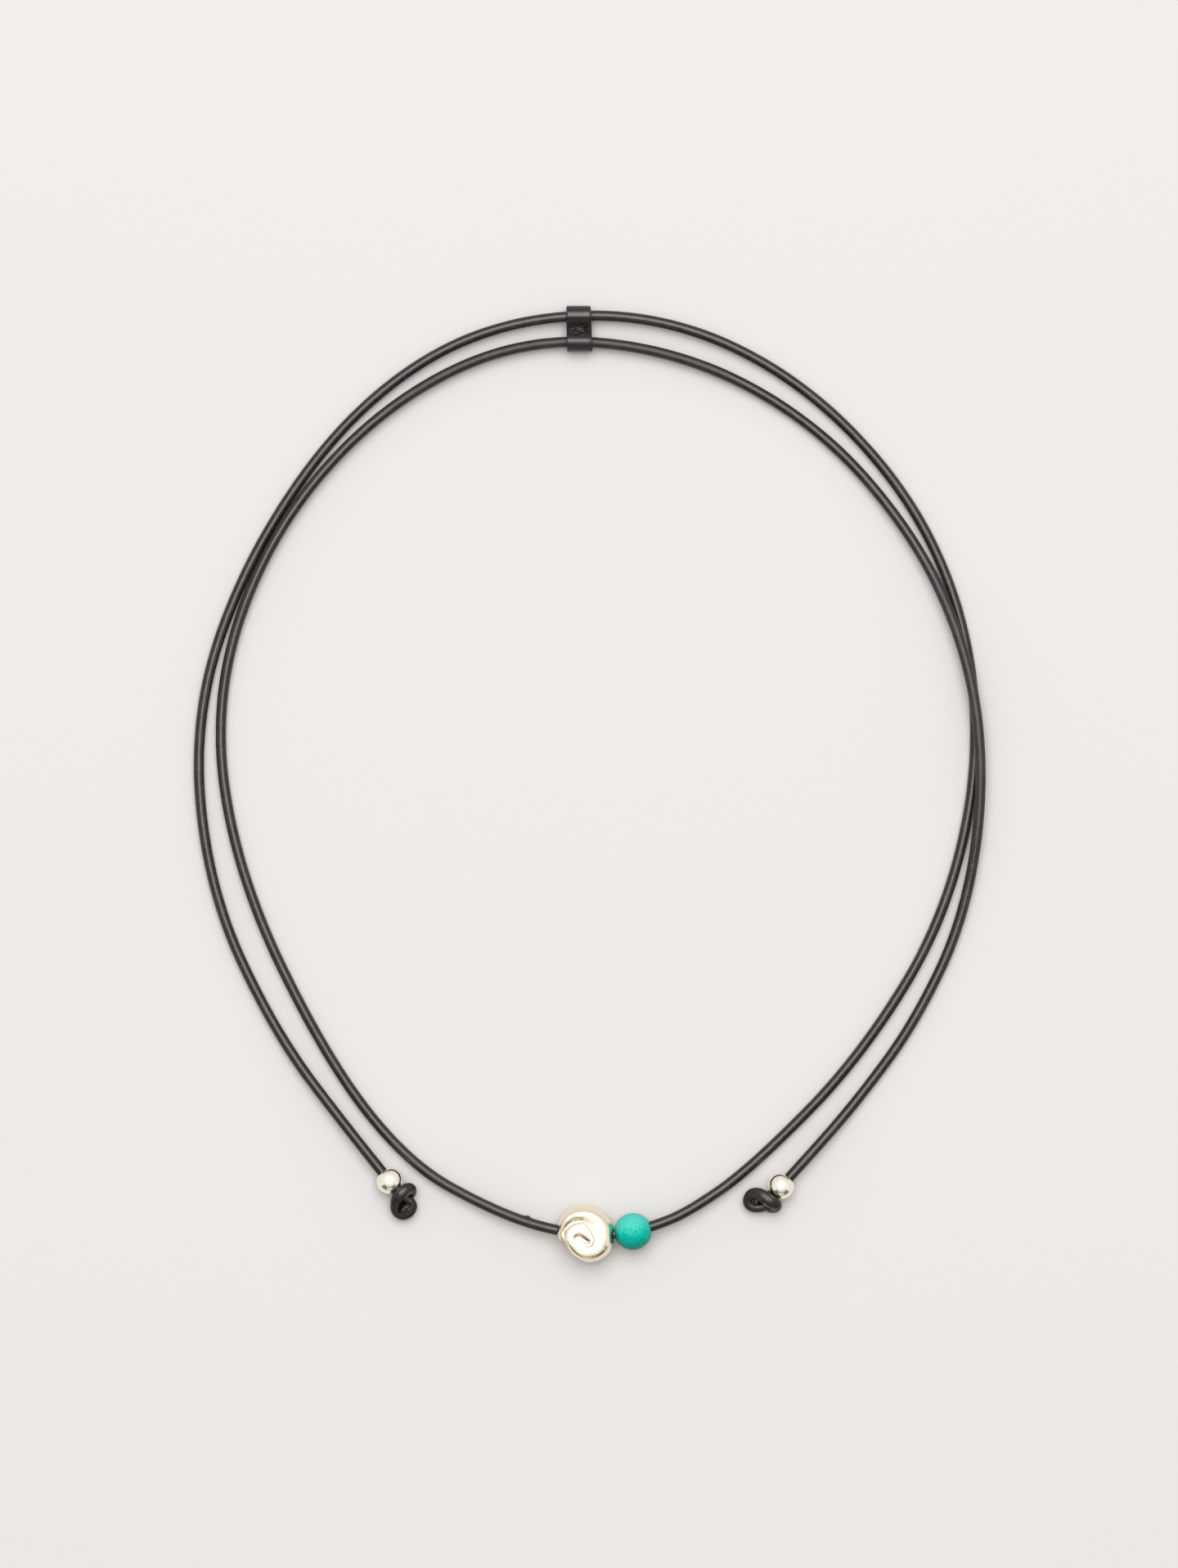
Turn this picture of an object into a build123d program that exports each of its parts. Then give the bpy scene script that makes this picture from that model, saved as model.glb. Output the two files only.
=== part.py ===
from build123d import *
from math import cos, pi, radians, sin, sqrt, tan
import os

# An adjustable leather cord necklace lying on a flat surface, +Z up, millimetres.
# The surface is at Z = 0 and the origin lies midway between the slider and the beads.

# Cord
cord_diameter = 2.0
cord_radius = cord_diameter / 2
arc_share = 0.45
crossing_gap = 0.2

# Leather slider that holds the two strands side by side
slider_length = 4.8
slider_wall = 1.0
slider_web = 1.6
slider_clearance = 0.15
slider_strand_gap = 4.92
slider_pinch_round = 0.25
slider_edge_round = 0.3

# Silver spiral bead
spiral_thickness = 7.0
spiral_reach = 5.8
spiral_rim = 3.0
spiral_rim_round = 0.9
spiral_clearance = 0.35
groove_radius = 0.62
groove_rise = 0.15
groove_centre = (-0.27, -1.08)

# Turquoise bead
turquoise_diameter = 7.0
turquoise_length = 6.7
turquoise_end_radius = 1.6
turquoise_clearance = 0.25
turquoise_bevel = 0.2
bead_gap = 0.2

# Silver ball beads at the two ends of the cord
ball_diameter = 5.0
ball_end_radius = 1.3
ball_clearance = 0.1
ball_bevel = 0.08
cord_end_inset = 0.4

# Overhand knots, their leather pulled a little thinner than the cord
knot_squeeze = 0.2
knot_diameter = cord_diameter - knot_squeeze
knot_fold_gap = 0.05

# Heights of the cord's centre above the surface
rest_height = cord_radius
lean_height = 2 * cord_radius
slide_height = slider_wall + slider_clearance + cord_radius
ball_height = ball_diameter / 2
climb_height = 2.6
crossing_height = 3 * cord_radius + crossing_gap
bead_height = spiral_thickness / 2

# The cord's route, from the left knot twice round to the right knot
cord_route = [
    (-36.0, -77.4, ball_height),
    (-44.3, -67.2, ball_height),
    (-59.2, -47.7, rest_height),
    (-72.0, -20.1, rest_height),
    (-74.9, 13.2, rest_height),
    (-64.1, 44.1, rest_height),
    (-43.9, 72.4, rest_height),
    (-18.0, 88.4, slide_height),
    (14.9, 89.9, slide_height),
    (44.6, 75.1, rest_height),
    (67.7, 47.1, rest_height),
    (76.2, 12.0, rest_height),
    (69.9, -23.5, rest_height),
    (52.8, -52.0, rest_height),
    (31.7, -73.4, rest_height),
    (19.8, -81.6, climb_height),
    (12.5, -84.5, bead_height),
    (5.6, -86.1, bead_height),
    (-5.5, -85.4, bead_height),
    (-17.6, -81.9, climb_height),
    (-33.8, -72.6, rest_height),
    (-49.5, -52.5, rest_height),
    (-66.5, -17.4, rest_height),
    (-71.2, 16.0, rest_height),
    (-60.4, 47.6, lean_height),
    (-38.8, 72.2, lean_height),
    (-11.5, 85.4, slide_height),
    (18.6, 82.5, slide_height),
    (44.6, 68.5, rest_height),
    (63.8, 46.0, lean_height),
    (73.6, 22.6, crossing_height),
    (76.0, -1.0, crossing_height),
    (72.4, -25.7, rest_height),
    (62.8, -45.8, rest_height),
    (52.0, -60.4, rest_height),
    (43.2, -70.4, ball_height),
    (35.9, -78.3, ball_height),
]
turquoise_run = (Vector(*cord_route[16]), Vector(*cord_route[17]))
spiral_run = (Vector(*cord_route[17]), Vector(*cord_route[18]))
left_end_run = (Vector(*cord_route[1]), Vector(*cord_route[0]))
right_end_run = (Vector(*cord_route[-2]), Vector(*cord_route[-1]))
slider_middle = (-1.2, 86.7)

# An overhand knot in three strands, from the cord's end: X on along the cord, Y to its left,
# Z above the surface, all as shares of the knot's own diameter
knot_standing_strand = [
    (2.78, -1.22, 1.22),
    (1.71, -1.22, 1.61),
]
knot_wrapping_strand = [
    (1.71, -1.22, 1.61),
    (0.64, -1.22, 2.0),
    (0.64, 1.06, 2.22),
    (0.96, 1.06, 1.36),
]
knot_end_strand = [
    (0.96, 1.06, 1.36),
    (1.28, 1.06, 0.5),
    (1.72, -0.64, 0.53),
    (2.61, -0.67, 2.33),
]

# The spiral bead's outline: angle in degrees, share of the bead's reach
spiral_outline = [
    (186, 0.93),
    (150, 0.98),
    (118, 0.98),
    (80, 0.92),
    (40, 0.91),
    (350, 0.96),
    (322, 1.00),
    (284, 0.96),
    (250, 0.84),
    (226, 0.77),
    (204, 0.74),
]
spiral_half_width = spiral_reach * 0.96

# The bead's groove about its own centre, from the lip inwards: angle in degrees, share of the reach
spiral_groove = [
    (204, 0.80),
    (181, 0.69),
    (150, 0.75),
    (120, 0.78),
    (94, 0.67),
    (62, 0.47),
    (20, 0.385),
    (-30, 0.36),
    (-81, 0.30),
    (-135, 0.265),
    (-190, 0.31),
    (-214, 0.31),
]


def arc_radii(points):
    """The radius at each corner of a route: as large as the shorter of its two runs allows."""
    radii = []
    for before, here, after in zip(points, points[1:], points[2:]):
        run_in = Vector(*here) - Vector(*before)
        run_out = Vector(*after) - Vector(*here)
        half_turn = radians(run_in.get_angle(run_out) / 2)
        radii.append(arc_share * min(run_in.length, run_out.length) / tan(half_turn))
    return radii


def round_section(line, radius):
    """A disc square to the start of a line."""
    with BuildSketch(Plane(origin=line @ 0, z_dir=line % 0)) as section:
        Circle(radius)
    return section.sketch


def heading_of(run):
    """The direction of a run, from its start to its end."""
    start, end = run
    return (end - start).normalized()


def level_plane(origin, heading):
    """A level plane at a point, with X along a heading."""
    return Plane(origin=origin, x_dir=heading, z_dir=(0, 0, 1))


def bead_section(plane, radius, length, end_radius, bore_radius, bevel):
    """Half the section of a drilled round bead, to be turned about the plane's X axis."""
    long_radius = length / 2 / sqrt(1 - (end_radius / radius) ** 2)
    with BuildSketch(plane) as section:
        Ellipse(long_radius, radius)
        with Locations((0, bore_radius)):
            Rectangle(length, radius, align=(Align.CENTER, Align.MIN), mode=Mode.INTERSECT)
        chamfer(section.vertices().group_by(Axis.Y)[0], bevel)
    return section.sketch


# The cord: one round tube along the whole route
with BuildPart() as cord:
    with BuildLine() as cord_line:
        FilletPolyline(*cord_route, radius=arc_radii(cord_route))
    sweep(round_section(cord_line.line, cord_radius), path=cord_line.line)
cord.part.label = "cord"

# The slider: a strip wrapped round both strands, pinched between them and flat underneath
tunnel_radius = cord_radius + slider_clearance
strand_places = ((-slider_strand_gap / 2, 0), (slider_strand_gap / 2, 0))
web_top = slider_wall + slider_web - slide_height
slider_plane = Plane(
    origin=(slider_middle[0] - slider_length / 2, slider_middle[1], slide_height),
    x_dir=(0, 1, 0),
    z_dir=(1, 0, 0),
)
with BuildPart() as slider:
    with BuildSketch(slider_plane) as slider_section:
        with Locations(*strand_places):
            Circle(tunnel_radius + slider_wall)
        with Locations((0, -slide_height)):
            Rectangle(slider_strand_gap, slider_wall + slider_web, align=(Align.CENTER, Align.MIN))
        pinches = [
            corner
            for corner in slider_section.vertices()
            if abs(corner.Y - web_top) < 0.01 and abs(corner.X) < slider_strand_gap / 2
        ]
        fillet(pinches, slider_pinch_round)
        with Locations(*strand_places):
            Circle(tunnel_radius, mode=Mode.SUBTRACT)
    extrude(amount=slider_length)
    ends = slider.faces().filter_by(Axis.X)
    fillet([edge for end in ends for edge in end.outer_wire().edges()], slider_edge_round)
slider.part.label = "slider"

# The spiral bead: a puffed disc cut to the snail's outline, grooved on its upper face and drilled
spiral_middle = (spiral_run[0] + spiral_run[1]) / 2
dome_rise = (spiral_thickness - spiral_rim) / 2
dome_radius = (spiral_reach**2 + dome_rise**2) / (2 * dome_rise)
dome_drop = dome_radius - bead_height


def outline_point(angle, share):
    """A point of the spiral bead's outline in the bead's plane."""
    reach = spiral_reach * share
    return (reach * cos(radians(angle)), reach * sin(radians(angle)))


def groove_point(angle, share):
    """A point of the groove's middle line, a little above the bead's domed face."""
    reach = spiral_reach * share
    x = groove_centre[0] + reach * cos(radians(angle))
    y = groove_centre[1] + reach * sin(radians(angle))
    return (x, y, sqrt(dome_radius**2 - x * x - y * y) - dome_drop + groove_rise)


with BuildPart() as spiral_bead:
    with BuildSketch(Plane(origin=spiral_middle)):
        with BuildLine():
            outline = [outline_point(*row) for row in spiral_outline]
            for first in range(0, len(outline) - 2, 2):
                ThreePointArc(*outline[first : first + 3])
            Line(outline[-1], outline[0])
        make_face()
    extrude(amount=bead_height, both=True)
    for drop in (-dome_drop, dome_drop):
        with Locations(spiral_middle + Vector(0, 0, drop)):
            Sphere(dome_radius, mode=Mode.INTERSECT)
    walls = spiral_bead.faces().filter_by(lambda face: abs(face.normal_at().Z) < 0.01)
    rim = [edge for wall in walls for edge in wall.edges().filter_by(Axis.Z, reverse=True)]
    fillet(rim, spiral_rim_round)
    groove_points = [groove_point(*row) for row in spiral_groove]
    with BuildLine(Plane(origin=spiral_middle), mode=Mode.PRIVATE) as groove_line:
        FilletPolyline(*groove_points, radius=arc_radii(groove_points))
    sweep(
        round_section(groove_line.line, groove_radius),
        path=groove_line.line,
        mode=Mode.SUBTRACT,
    )
    with BuildSketch(Plane(origin=spiral_middle, z_dir=heading_of(spiral_run))):
        Circle(cord_radius + spiral_clearance)
    extrude(amount=spiral_reach * 2, both=True, mode=Mode.SUBTRACT)
spiral_bead.part.label = "spiral_bead"

# The turquoise bead: a round stone with flattened, bevelled ends, beside the spiral bead
beads_apart = spiral_half_width + bead_gap + turquoise_length / 2
turquoise_inset = beads_apart - (spiral_run[1] - spiral_run[0]).length / 2
turquoise_middle = turquoise_run[1] - heading_of(turquoise_run) * turquoise_inset
with BuildPart() as turquoise_bead:
    turquoise_plane = level_plane(turquoise_middle, heading_of(turquoise_run))
    revolve(
        bead_section(
            turquoise_plane,
            turquoise_diameter / 2,
            turquoise_length,
            turquoise_end_radius,
            cord_radius + turquoise_clearance,
            turquoise_bevel,
        ),
        axis=Axis(turquoise_plane.origin, turquoise_plane.x_dir),
    )
turquoise_bead.part.label = "turquoise_bead"

# The ball beads: each hides its end of the cord, just inside its outer hole
ball_radius = ball_diameter / 2
ball_length = 2 * sqrt(ball_radius**2 - ball_end_radius**2)


def ball_plane(run):
    """The level plane through the middle of the ball on a run that ends the cord."""
    return level_plane(run[1] - heading_of(run) * (ball_radius - cord_end_inset), heading_of(run))


def ball_section(plane):
    """Half the section of a drilled ball bead."""
    bore_radius = cord_radius + ball_clearance
    return bead_section(plane, ball_radius, ball_length, ball_end_radius, bore_radius, ball_bevel)


with BuildPart() as left_ball_bead:
    left_ball_plane = ball_plane(left_end_run)
    revolve(ball_section(left_ball_plane), axis=Axis(left_ball_plane.origin, left_ball_plane.x_dir))
left_ball_bead.part.label = "left_ball_bead"

with BuildPart() as right_ball_bead:
    right_ball_plane = ball_plane(right_end_run)
    revolve(ball_section(right_ball_plane), axis=Axis(right_ball_plane.origin, right_ball_plane.x_dir))
right_ball_bead.part.label = "right_ball_bead"


# The overhand knots that keep the ball beads on, each pulled tight into one solid
def knot_lines(run):
    """The middle lines of a knot's three strands, on from the end of a run."""
    plane = level_plane((run[1].X, run[1].Y, 0), heading_of(run))
    lines = []
    for rows in (knot_standing_strand, knot_wrapping_strand, knot_end_strand):
        points = [tuple(knot_diameter * share for share in row) for row in rows]
        if rows is knot_standing_strand:
            points = [(0, 0, run[1].Z), (points[0][0], 0, run[1].Z)] + points
        with BuildLine(plane) as strand:
            FilletPolyline(*points, radius=knot_diameter / 2 + knot_fold_gap)
        lines.append(strand.line)
    return lines


with BuildPart() as left_knot:
    for line in knot_lines(left_end_run):
        sweep(round_section(line, knot_diameter / 2), path=line)
left_knot.part.label = "left_knot"

with BuildPart() as right_knot:
    for line in knot_lines(right_end_run):
        sweep(round_section(line, knot_diameter / 2), path=line)
right_knot.part.label = "right_knot"

os.makedirs("parts", exist_ok=True)
pieces = (
    cord,
    slider,
    spiral_bead,
    turquoise_bead,
    left_ball_bead,
    right_ball_bead,
    left_knot,
    right_knot,
)
for piece in pieces:
    export_step(piece.part, f"parts/{piece.part.label}.step")
    print(piece.part.label, "volume", round(piece.part.volume, 1))

cord_length = sum(edge.length for edge in cord_line.line.edges())
tube_volume = pi * cord_radius**2 * cord_length
print("cord length", round(cord_length, 1))
print("tube volume over section times length", round(cord.part.volume / tube_volume, 4))
print("arc radii", [round(radius, 1) for radius in arc_radii(cord_route)])
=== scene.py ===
"""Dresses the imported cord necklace: its leather cord, slider and knots, and its silver and turquoise beads.

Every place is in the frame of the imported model, and every length is in metres, unless millimetres are named.
"""

import logging
import math
from collections.abc import Callable, Sequence
from dataclasses import dataclass, field
from enum import Enum

import bpy
import numpy as np
from mathutils import Matrix, Vector, noise


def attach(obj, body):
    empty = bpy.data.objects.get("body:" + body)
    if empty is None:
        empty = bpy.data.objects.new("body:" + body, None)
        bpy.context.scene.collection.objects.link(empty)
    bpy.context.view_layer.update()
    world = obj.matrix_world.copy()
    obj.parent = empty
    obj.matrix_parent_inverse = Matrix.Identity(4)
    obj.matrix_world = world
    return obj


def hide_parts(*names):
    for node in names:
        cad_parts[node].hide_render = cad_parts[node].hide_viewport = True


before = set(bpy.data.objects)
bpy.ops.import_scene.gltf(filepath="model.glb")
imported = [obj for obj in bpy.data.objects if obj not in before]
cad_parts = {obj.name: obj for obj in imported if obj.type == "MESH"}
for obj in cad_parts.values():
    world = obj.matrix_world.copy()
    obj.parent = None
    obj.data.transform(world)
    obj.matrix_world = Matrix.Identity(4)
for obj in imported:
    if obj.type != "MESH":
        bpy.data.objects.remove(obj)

LOG = logging.getLogger("cord_necklace")
MM = 0.001
BODY = "root"

Colour = tuple[float, float, float]
Point = tuple[float, float, float]
Row = tuple[float, float]
Pair = tuple[np.ndarray, np.ndarray]
Piece = bpy.types.Object
Material = bpy.types.Material
Socket = bpy.types.NodeSocket
Inputs = dict[str | int, object]


class Slot(Enum):
    """Material slot names, by what is made of them."""

    CORD = "cord_leather"
    SLIDER = "slider_leather"
    SILVER = "silver"
    STONE = "turquoise_stone"


class Bench:
    """Selecting, shaping and finishing a piece with the mesh operators."""

    @staticmethod
    def clear() -> None:
        """Leaves edit mode and deselects every object."""
        if bpy.context.mode != "OBJECT":
            bpy.ops.object.mode_set(mode="OBJECT")
        bpy.ops.object.select_all(action="DESELECT")

    @staticmethod
    def take(piece: Piece) -> None:
        """Makes one object the selected and active one.

        Args:
            piece: The object to work on.
        """
        Bench.clear()
        piece.select_set(True)
        bpy.context.view_layer.objects.active = piece

    @staticmethod
    def named(name: str) -> Piece:
        """Names the object that has just been added, and its mesh.

        Args:
            name: The name for both.

        Returns:
            The object.
        """
        piece = bpy.context.object
        piece.name = piece.data.name = name
        return piece

    @staticmethod
    def edit_edges(piece: Piece, chosen: Callable[[Vector], bool]) -> None:
        """Enters edit mode with the edges selected whose middle passes a test.

        Args:
            piece: The object to edit.
            chosen: Takes an edge's middle and says whether it is selected.
        """
        Bench.take(piece)
        mesh = piece.data
        bpy.ops.object.mode_set(mode="EDIT")
        bpy.ops.mesh.select_mode(type="EDGE")
        bpy.ops.mesh.select_all(action="DESELECT")
        bpy.ops.object.mode_set(mode="OBJECT")
        for edge in mesh.edges:
            start, end = (mesh.vertices[index].co for index in edge.vertices)
            edge.select = chosen((start + end) / 2)
        bpy.ops.object.mode_set(mode="EDIT")

    @staticmethod
    def places(piece: Piece) -> np.ndarray:
        """Reads where the piece's vertices are.

        Args:
            piece: The object to read.

        Returns:
            One row of x, y and z for each vertex.
        """
        found = np.empty(len(piece.data.vertices) * 3)
        piece.data.vertices.foreach_get("co", found)
        return found.reshape(-1, 3)

    @staticmethod
    def move(piece: Piece, places: np.ndarray) -> None:
        """Puts the piece's vertices at new places.

        Args:
            piece: The object to reshape.
            places: One row of x, y and z for each vertex.
        """
        piece.data.vertices.foreach_set("co", np.ascontiguousarray(places, float).ravel())
        piece.data.update()

    @staticmethod
    def mark(mesh: bpy.types.Mesh, name: str, values: np.ndarray) -> None:
        """Writes what a finish reads by name at each vertex.

        Args:
            mesh: The mesh to mark.
            name: The mark's name.
            values: A number, or a row of x, y and z, for each vertex.
        """
        kind, key = ("FLOAT", "value") if values.ndim == 1 else ("FLOAT_VECTOR", "vector")
        attribute = mesh.attributes.new(name, kind, "POINT")
        attribute.data.foreach_set(key, np.ascontiguousarray(values, float).ravel())

    @staticmethod
    def apply(piece: Piece, kind: str, **settings: object) -> None:
        """Adds one modifier, sets it and applies it.

        Args:
            piece: The object that gets it.
            kind: The modifier's type.
            **settings: Its properties.
        """
        Bench.take(piece)
        modifier = piece.modifiers.new(kind.title(), kind)
        for key, value in settings.items():
            setattr(modifier, key, value)
        bpy.ops.object.modifier_apply(modifier=modifier.name)

    @staticmethod
    def settle(piece: Piece, place: Matrix, weld: float = 1e-7) -> None:
        """Puts a piece in its place with the place in its mesh, welded, facing out and smooth.

        Args:
            piece: The object to place.
            place: Where its own frame lies in the model's frame.
            weld: The distance within which vertices are merged.
        """
        piece.data.transform(place)
        piece.matrix_world = Matrix.Identity(4)
        Bench.take(piece)
        bpy.ops.object.mode_set(mode="EDIT")
        bpy.ops.mesh.select_mode(type="VERT")
        bpy.ops.mesh.select_all(action="SELECT")
        bpy.ops.mesh.remove_doubles(threshold=weld)
        bpy.ops.mesh.normals_make_consistent(inside=False)
        bpy.ops.object.mode_set(mode="OBJECT")
        bpy.ops.object.shade_smooth()
        Bench.clear()

    @staticmethod
    def register(piece: Piece, node: str, slot: Slot, finish: Material) -> None:
        """Gives a piece its finish, attaches it to the body and hides the CAD part that it replaces.

        Args:
            piece: The finished mesh.
            node: The CAD node that it replaces.
            slot: Not used.
            finish: The material.
        """
        piece.data.materials.clear()
        piece.data.materials.append(finish)
        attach(piece, BODY)
        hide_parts(node)
        size = np.ptp(np.array(piece.bound_box), axis=0) / MM
        LOG.info("%s: %d faces, %s mm", piece.name, len(piece.data.polygons), size.round(1))


class NodeBench:
    """Lays out the nodes of one material or of the world."""

    def __init__(self, tree: bpy.types.NodeTree) -> None:
        """Clears the tree.

        Args:
            tree: The node tree of a material or of the world.
        """
        self.tree = tree
        tree.nodes.clear()

    @classmethod
    def start(cls, name: str) -> tuple[Material, "NodeBench"]:
        """Starts a material.

        Args:
            name: The material's name.

        Returns:
            The material and the bench for its nodes.
        """
        material = bpy.data.materials.new(name)
        material.use_nodes = True
        return material, cls(material.node_tree)

    def add(self, kind: str, inputs: Inputs | None = None, **settings: object) -> bpy.types.Node:
        """Adds a node.

        Args:
            kind: The node's type, without its ShaderNode prefix.
            inputs: What goes into its sockets: a value or another node's output.
            **settings: The node's own properties.

        Returns:
            The new node.
        """
        node = self.tree.nodes.new("ShaderNode" + kind)
        for key, value in settings.items():
            setattr(node, key, value)
        for key, value in (inputs or {}).items():
            socket = node.inputs[key]
            if isinstance(value, Socket):
                self.tree.links.new(value, socket)
            elif socket.type == "RGBA":
                socket.default_value = (*value, 1.0)
            else:
                socket.default_value = value
        return node

    def place(self) -> Socket:
        """Returns the place on the piece, in the model's frame."""
        return self.add("TexCoord").outputs["Object"]

    def mark(self, name: str) -> Socket:
        """Returns the number that the mesh is marked with under a name."""
        return self.add("Attribute", attribute_name=name).outputs["Fac"]

    def reckon(self, operation: str, first: object, second: object = 0.0) -> Socket:
        """Works out one number from one or two.

        Args:
            operation: The Math node's operation.
            first: A number or an output.
            second: A number or an output.

        Returns:
            The result.
        """
        return self.add("Math", {0: first, 1: second}, operation=operation).outputs[0]

    def plus(self, first: object, second: object) -> Socket:
        """Returns the sum of two numbers."""
        return self.reckon("ADD", first, second)

    def times(self, first: object, second: object) -> Socket:
        """Returns the product of two numbers."""
        return self.reckon("MULTIPLY", first, second)

    def along(self, where: Socket, way: Vector) -> Socket:
        """Returns how far the coordinates reach along a direction."""
        return self.add("VectorMath", {0: where, 1: way}, operation="DOT_PRODUCT").outputs["Value"]

    def spread(self, value: object, span: Row, start: float = 0.0, end: float = 1.0) -> Socket:
        """Maps a range of one number smoothly onto another range.

        Args:
            value: The output to map.
            span: Where the range starts and ends.
            start: The result at its start.
            end: The result at its end.

        Returns:
            The mapped number.
        """
        inputs = {"Value": value, "From Min": span[0], "From Max": span[1], "To Min": start, "To Max": end}
        return self.add("MapRange", inputs, interpolation_type="SMOOTHSTEP").outputs["Result"]

    def between(self, value: object, foot: Row, head: Row) -> Socket:
        """Makes a number that is 1 between two smooth steps and 0 outside them.

        Args:
            value: The output to test.
            foot: Where the step up starts and ends.
            head: Where the step down starts and ends.

        Returns:
            The number.
        """
        return self.times(self.spread(value, foot), self.spread(value, head, 1.0, 0.0))

    def noise(self, where: Socket, size: float, detail: float = 3.0, rough: float = 0.55) -> Socket:
        """Adds an even noise whose lumps have the given size.

        Args:
            where: The coordinates.
            size: The distance from lump to lump.
            detail: How many finer layers it has.
            rough: How strong the finer layers are.

        Returns:
            The noise's number.
        """
        inputs = {"Vector": where, "Scale": 1 / size, "Detail": detail, "Roughness": rough}
        return self.add("TexNoise", inputs).outputs["Fac"]

    def cells(self, where: Socket, size: float) -> Socket:
        """Returns the distance to the nearest of many points that lie a given size apart."""
        return self.add("TexVoronoi", {"Vector": where, "Scale": 1 / size}, feature="F1").outputs["Distance"]

    def blend(self, share: object, first: object, second: object) -> Socket:
        """Mixes two colours.

        Args:
            share: How much of the second colour shows.
            first: A colour or an output.
            second: A colour or an output.

        Returns:
            The mixed colour.
        """
        return self.add("Mix", {0: share, 6: first, 7: second}, data_type="RGBA").outputs[2]

    def relief(self, *layers: tuple[Socket, float]) -> Socket:
        """Raises the surface's shading in layers.

        Args:
            *layers: From the coarsest to the finest, a height from 0 to 1 and the depth that 1 stands for.

        Returns:
            The new normal.
        """
        normal = None
        for height, depth in layers:
            inputs = {"Height": height, "Distance": depth, "Strength": 1.0}
            if normal is not None:
                inputs["Normal"] = normal
            normal = self.add("Bump", inputs).outputs["Normal"]
        return normal

    def surface(self, inputs: Inputs) -> None:
        """Ends a material with its shader.

        Args:
            inputs: What goes into the shader's sockets.
        """
        shader = self.add("BsdfPrincipled", inputs)
        self.add("OutputMaterial", {"Surface": shader.outputs[0]})


@dataclass(frozen=True)
class LeatherFinish:
    """Dyed black leather: satin, finely grained and pitted, with a little brown showing."""

    name: str
    follows_piece: bool = True
    black: Colour = (0.0072, 0.0050, 0.0036)
    brown: Colour = (0.0160, 0.0123, 0.0092)
    raw_edge: Colour = (0.30, 0.20, 0.11)
    # The brown patches' spacing, and over which of the noises' products they come in
    patch: float = 3.1 * MM
    patch_range: Row = (0.16, 0.38)
    grain: float = 0.26 * MM
    grain_depth: float = 0.009 * MM
    pit_spacing: float = 2.6 * MM
    # How wide a pit's floor and its mouth are, as shares of the spacing
    pit_range: Row = (0.04, 0.10)
    pit_depth: float = 0.03 * MM
    pebble: float = 0.16 * MM
    pebble_depth: float = 0.03 * MM
    crease: float = 0.7 * MM
    crease_depth: float = 0.008 * MM
    # The roughness at its least and its most, and over which of the noises' sums it changes
    polish: Row = (0.15, 0.26)
    polish_range: Row = (0.75, 1.25)
    worn_matt: float = 0.17
    shine: float = 0.44

    def material(self) -> Material:
        """Lays out the leather.

        Returns:
            The material.
        """
        material, nodes = NodeBench.start(self.name)
        if self.follows_piece:
            where = nodes.add("Attribute", attribute_name="lay").outputs["Vector"]
        else:
            where = nodes.place()
        worn = nodes.mark("worn")
        fine = nodes.noise(where, self.grain, 2.0, 0.6)
        crease = nodes.noise(where, self.crease, 2.0, 0.5)
        patches = nodes.times(nodes.noise(where, self.patch), crease)
        pebbles = nodes.times(nodes.noise(where, self.pebble, 1.0), worn)
        pits = nodes.spread(nodes.cells(where, self.pit_spacing), self.pit_range)
        colour = nodes.blend(nodes.spread(patches, self.patch_range), self.black, self.brown)
        colour = nodes.blend(nodes.mark("raw"), colour, self.raw_edge)
        rough = nodes.spread(nodes.plus(fine, crease), self.polish_range, *self.polish)
        rough = nodes.plus(rough, nodes.times(worn, self.worn_matt))
        relief = nodes.relief(
            (crease, self.crease_depth), (pits, self.pit_depth),
            (pebbles, self.pebble_depth), (fine, self.grain_depth))
        nodes.surface({
            "Base Color": colour,
            "Roughness": rough,
            "Normal": relief,
            "Specular IOR Level": self.shine,
        })
        return material


@dataclass(frozen=True)
class SilverFinish:
    """Polished silver, slightly warm, with faint handling marks."""

    name: str = "polished_silver"
    metal: Colour = (0.975, 0.925, 0.815)
    # The tarnish colour also serves as painted shade on the spiral's outer slopes; the near-black colour is
    # painted shade and reflection at the bore's mouth
    tarnish_and_shade_colour: Colour = (0.50, 0.41, 0.29)
    mouth_shade_colour: Colour = (0.018, 0.014, 0.011)
    # The polish's soft waves and its fine handling marks: their size and depth
    wave: float = 1.7 * MM
    wave_depth: float = 0.006 * MM
    handling: float = 0.12 * MM
    handling_depth: float = 0.0003 * MM
    # The roughness at its least and its most, and over which of the noises' sums it changes
    polish: Row = (0.07, 0.12)
    polish_range: Row = (0.8, 1.2)
    tarnish_and_shade_matt: float = 0.12
    mouth_shade_matt: float = 0.55

    def material(self) -> Material:
        """Lays out the silver.

        Returns:
            The material.
        """
        material, nodes = NodeBench.start(self.name)
        where = nodes.place()
        soft = nodes.noise(where, self.wave, 2.0)
        fine = nodes.noise(where, self.handling)
        # One mark brings tarnish and painted shade, the other a patch of painted shade and reflection that is
        # dark and not metal
        tarnish_and_shade = nodes.mark("tarnish_and_shade")
        black = nodes.mark("black")
        colour = nodes.blend(tarnish_and_shade, self.metal, self.tarnish_and_shade_colour)
        colour = nodes.blend(black, colour, self.mouth_shade_colour)
        rough = nodes.spread(nodes.plus(soft, fine), self.polish_range, *self.polish)
        dull = nodes.plus(nodes.times(tarnish_and_shade, self.tarnish_and_shade_matt), nodes.times(black, self.mouth_shade_matt))
        nodes.surface({
            "Base Color": colour,
            "Metallic": nodes.reckon("SUBTRACT", 1.0, black),
            "Roughness": nodes.plus(rough, dull),
            "Normal": nodes.relief((soft, self.wave_depth), (fine, self.handling_depth)),
        })
        return material


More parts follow.
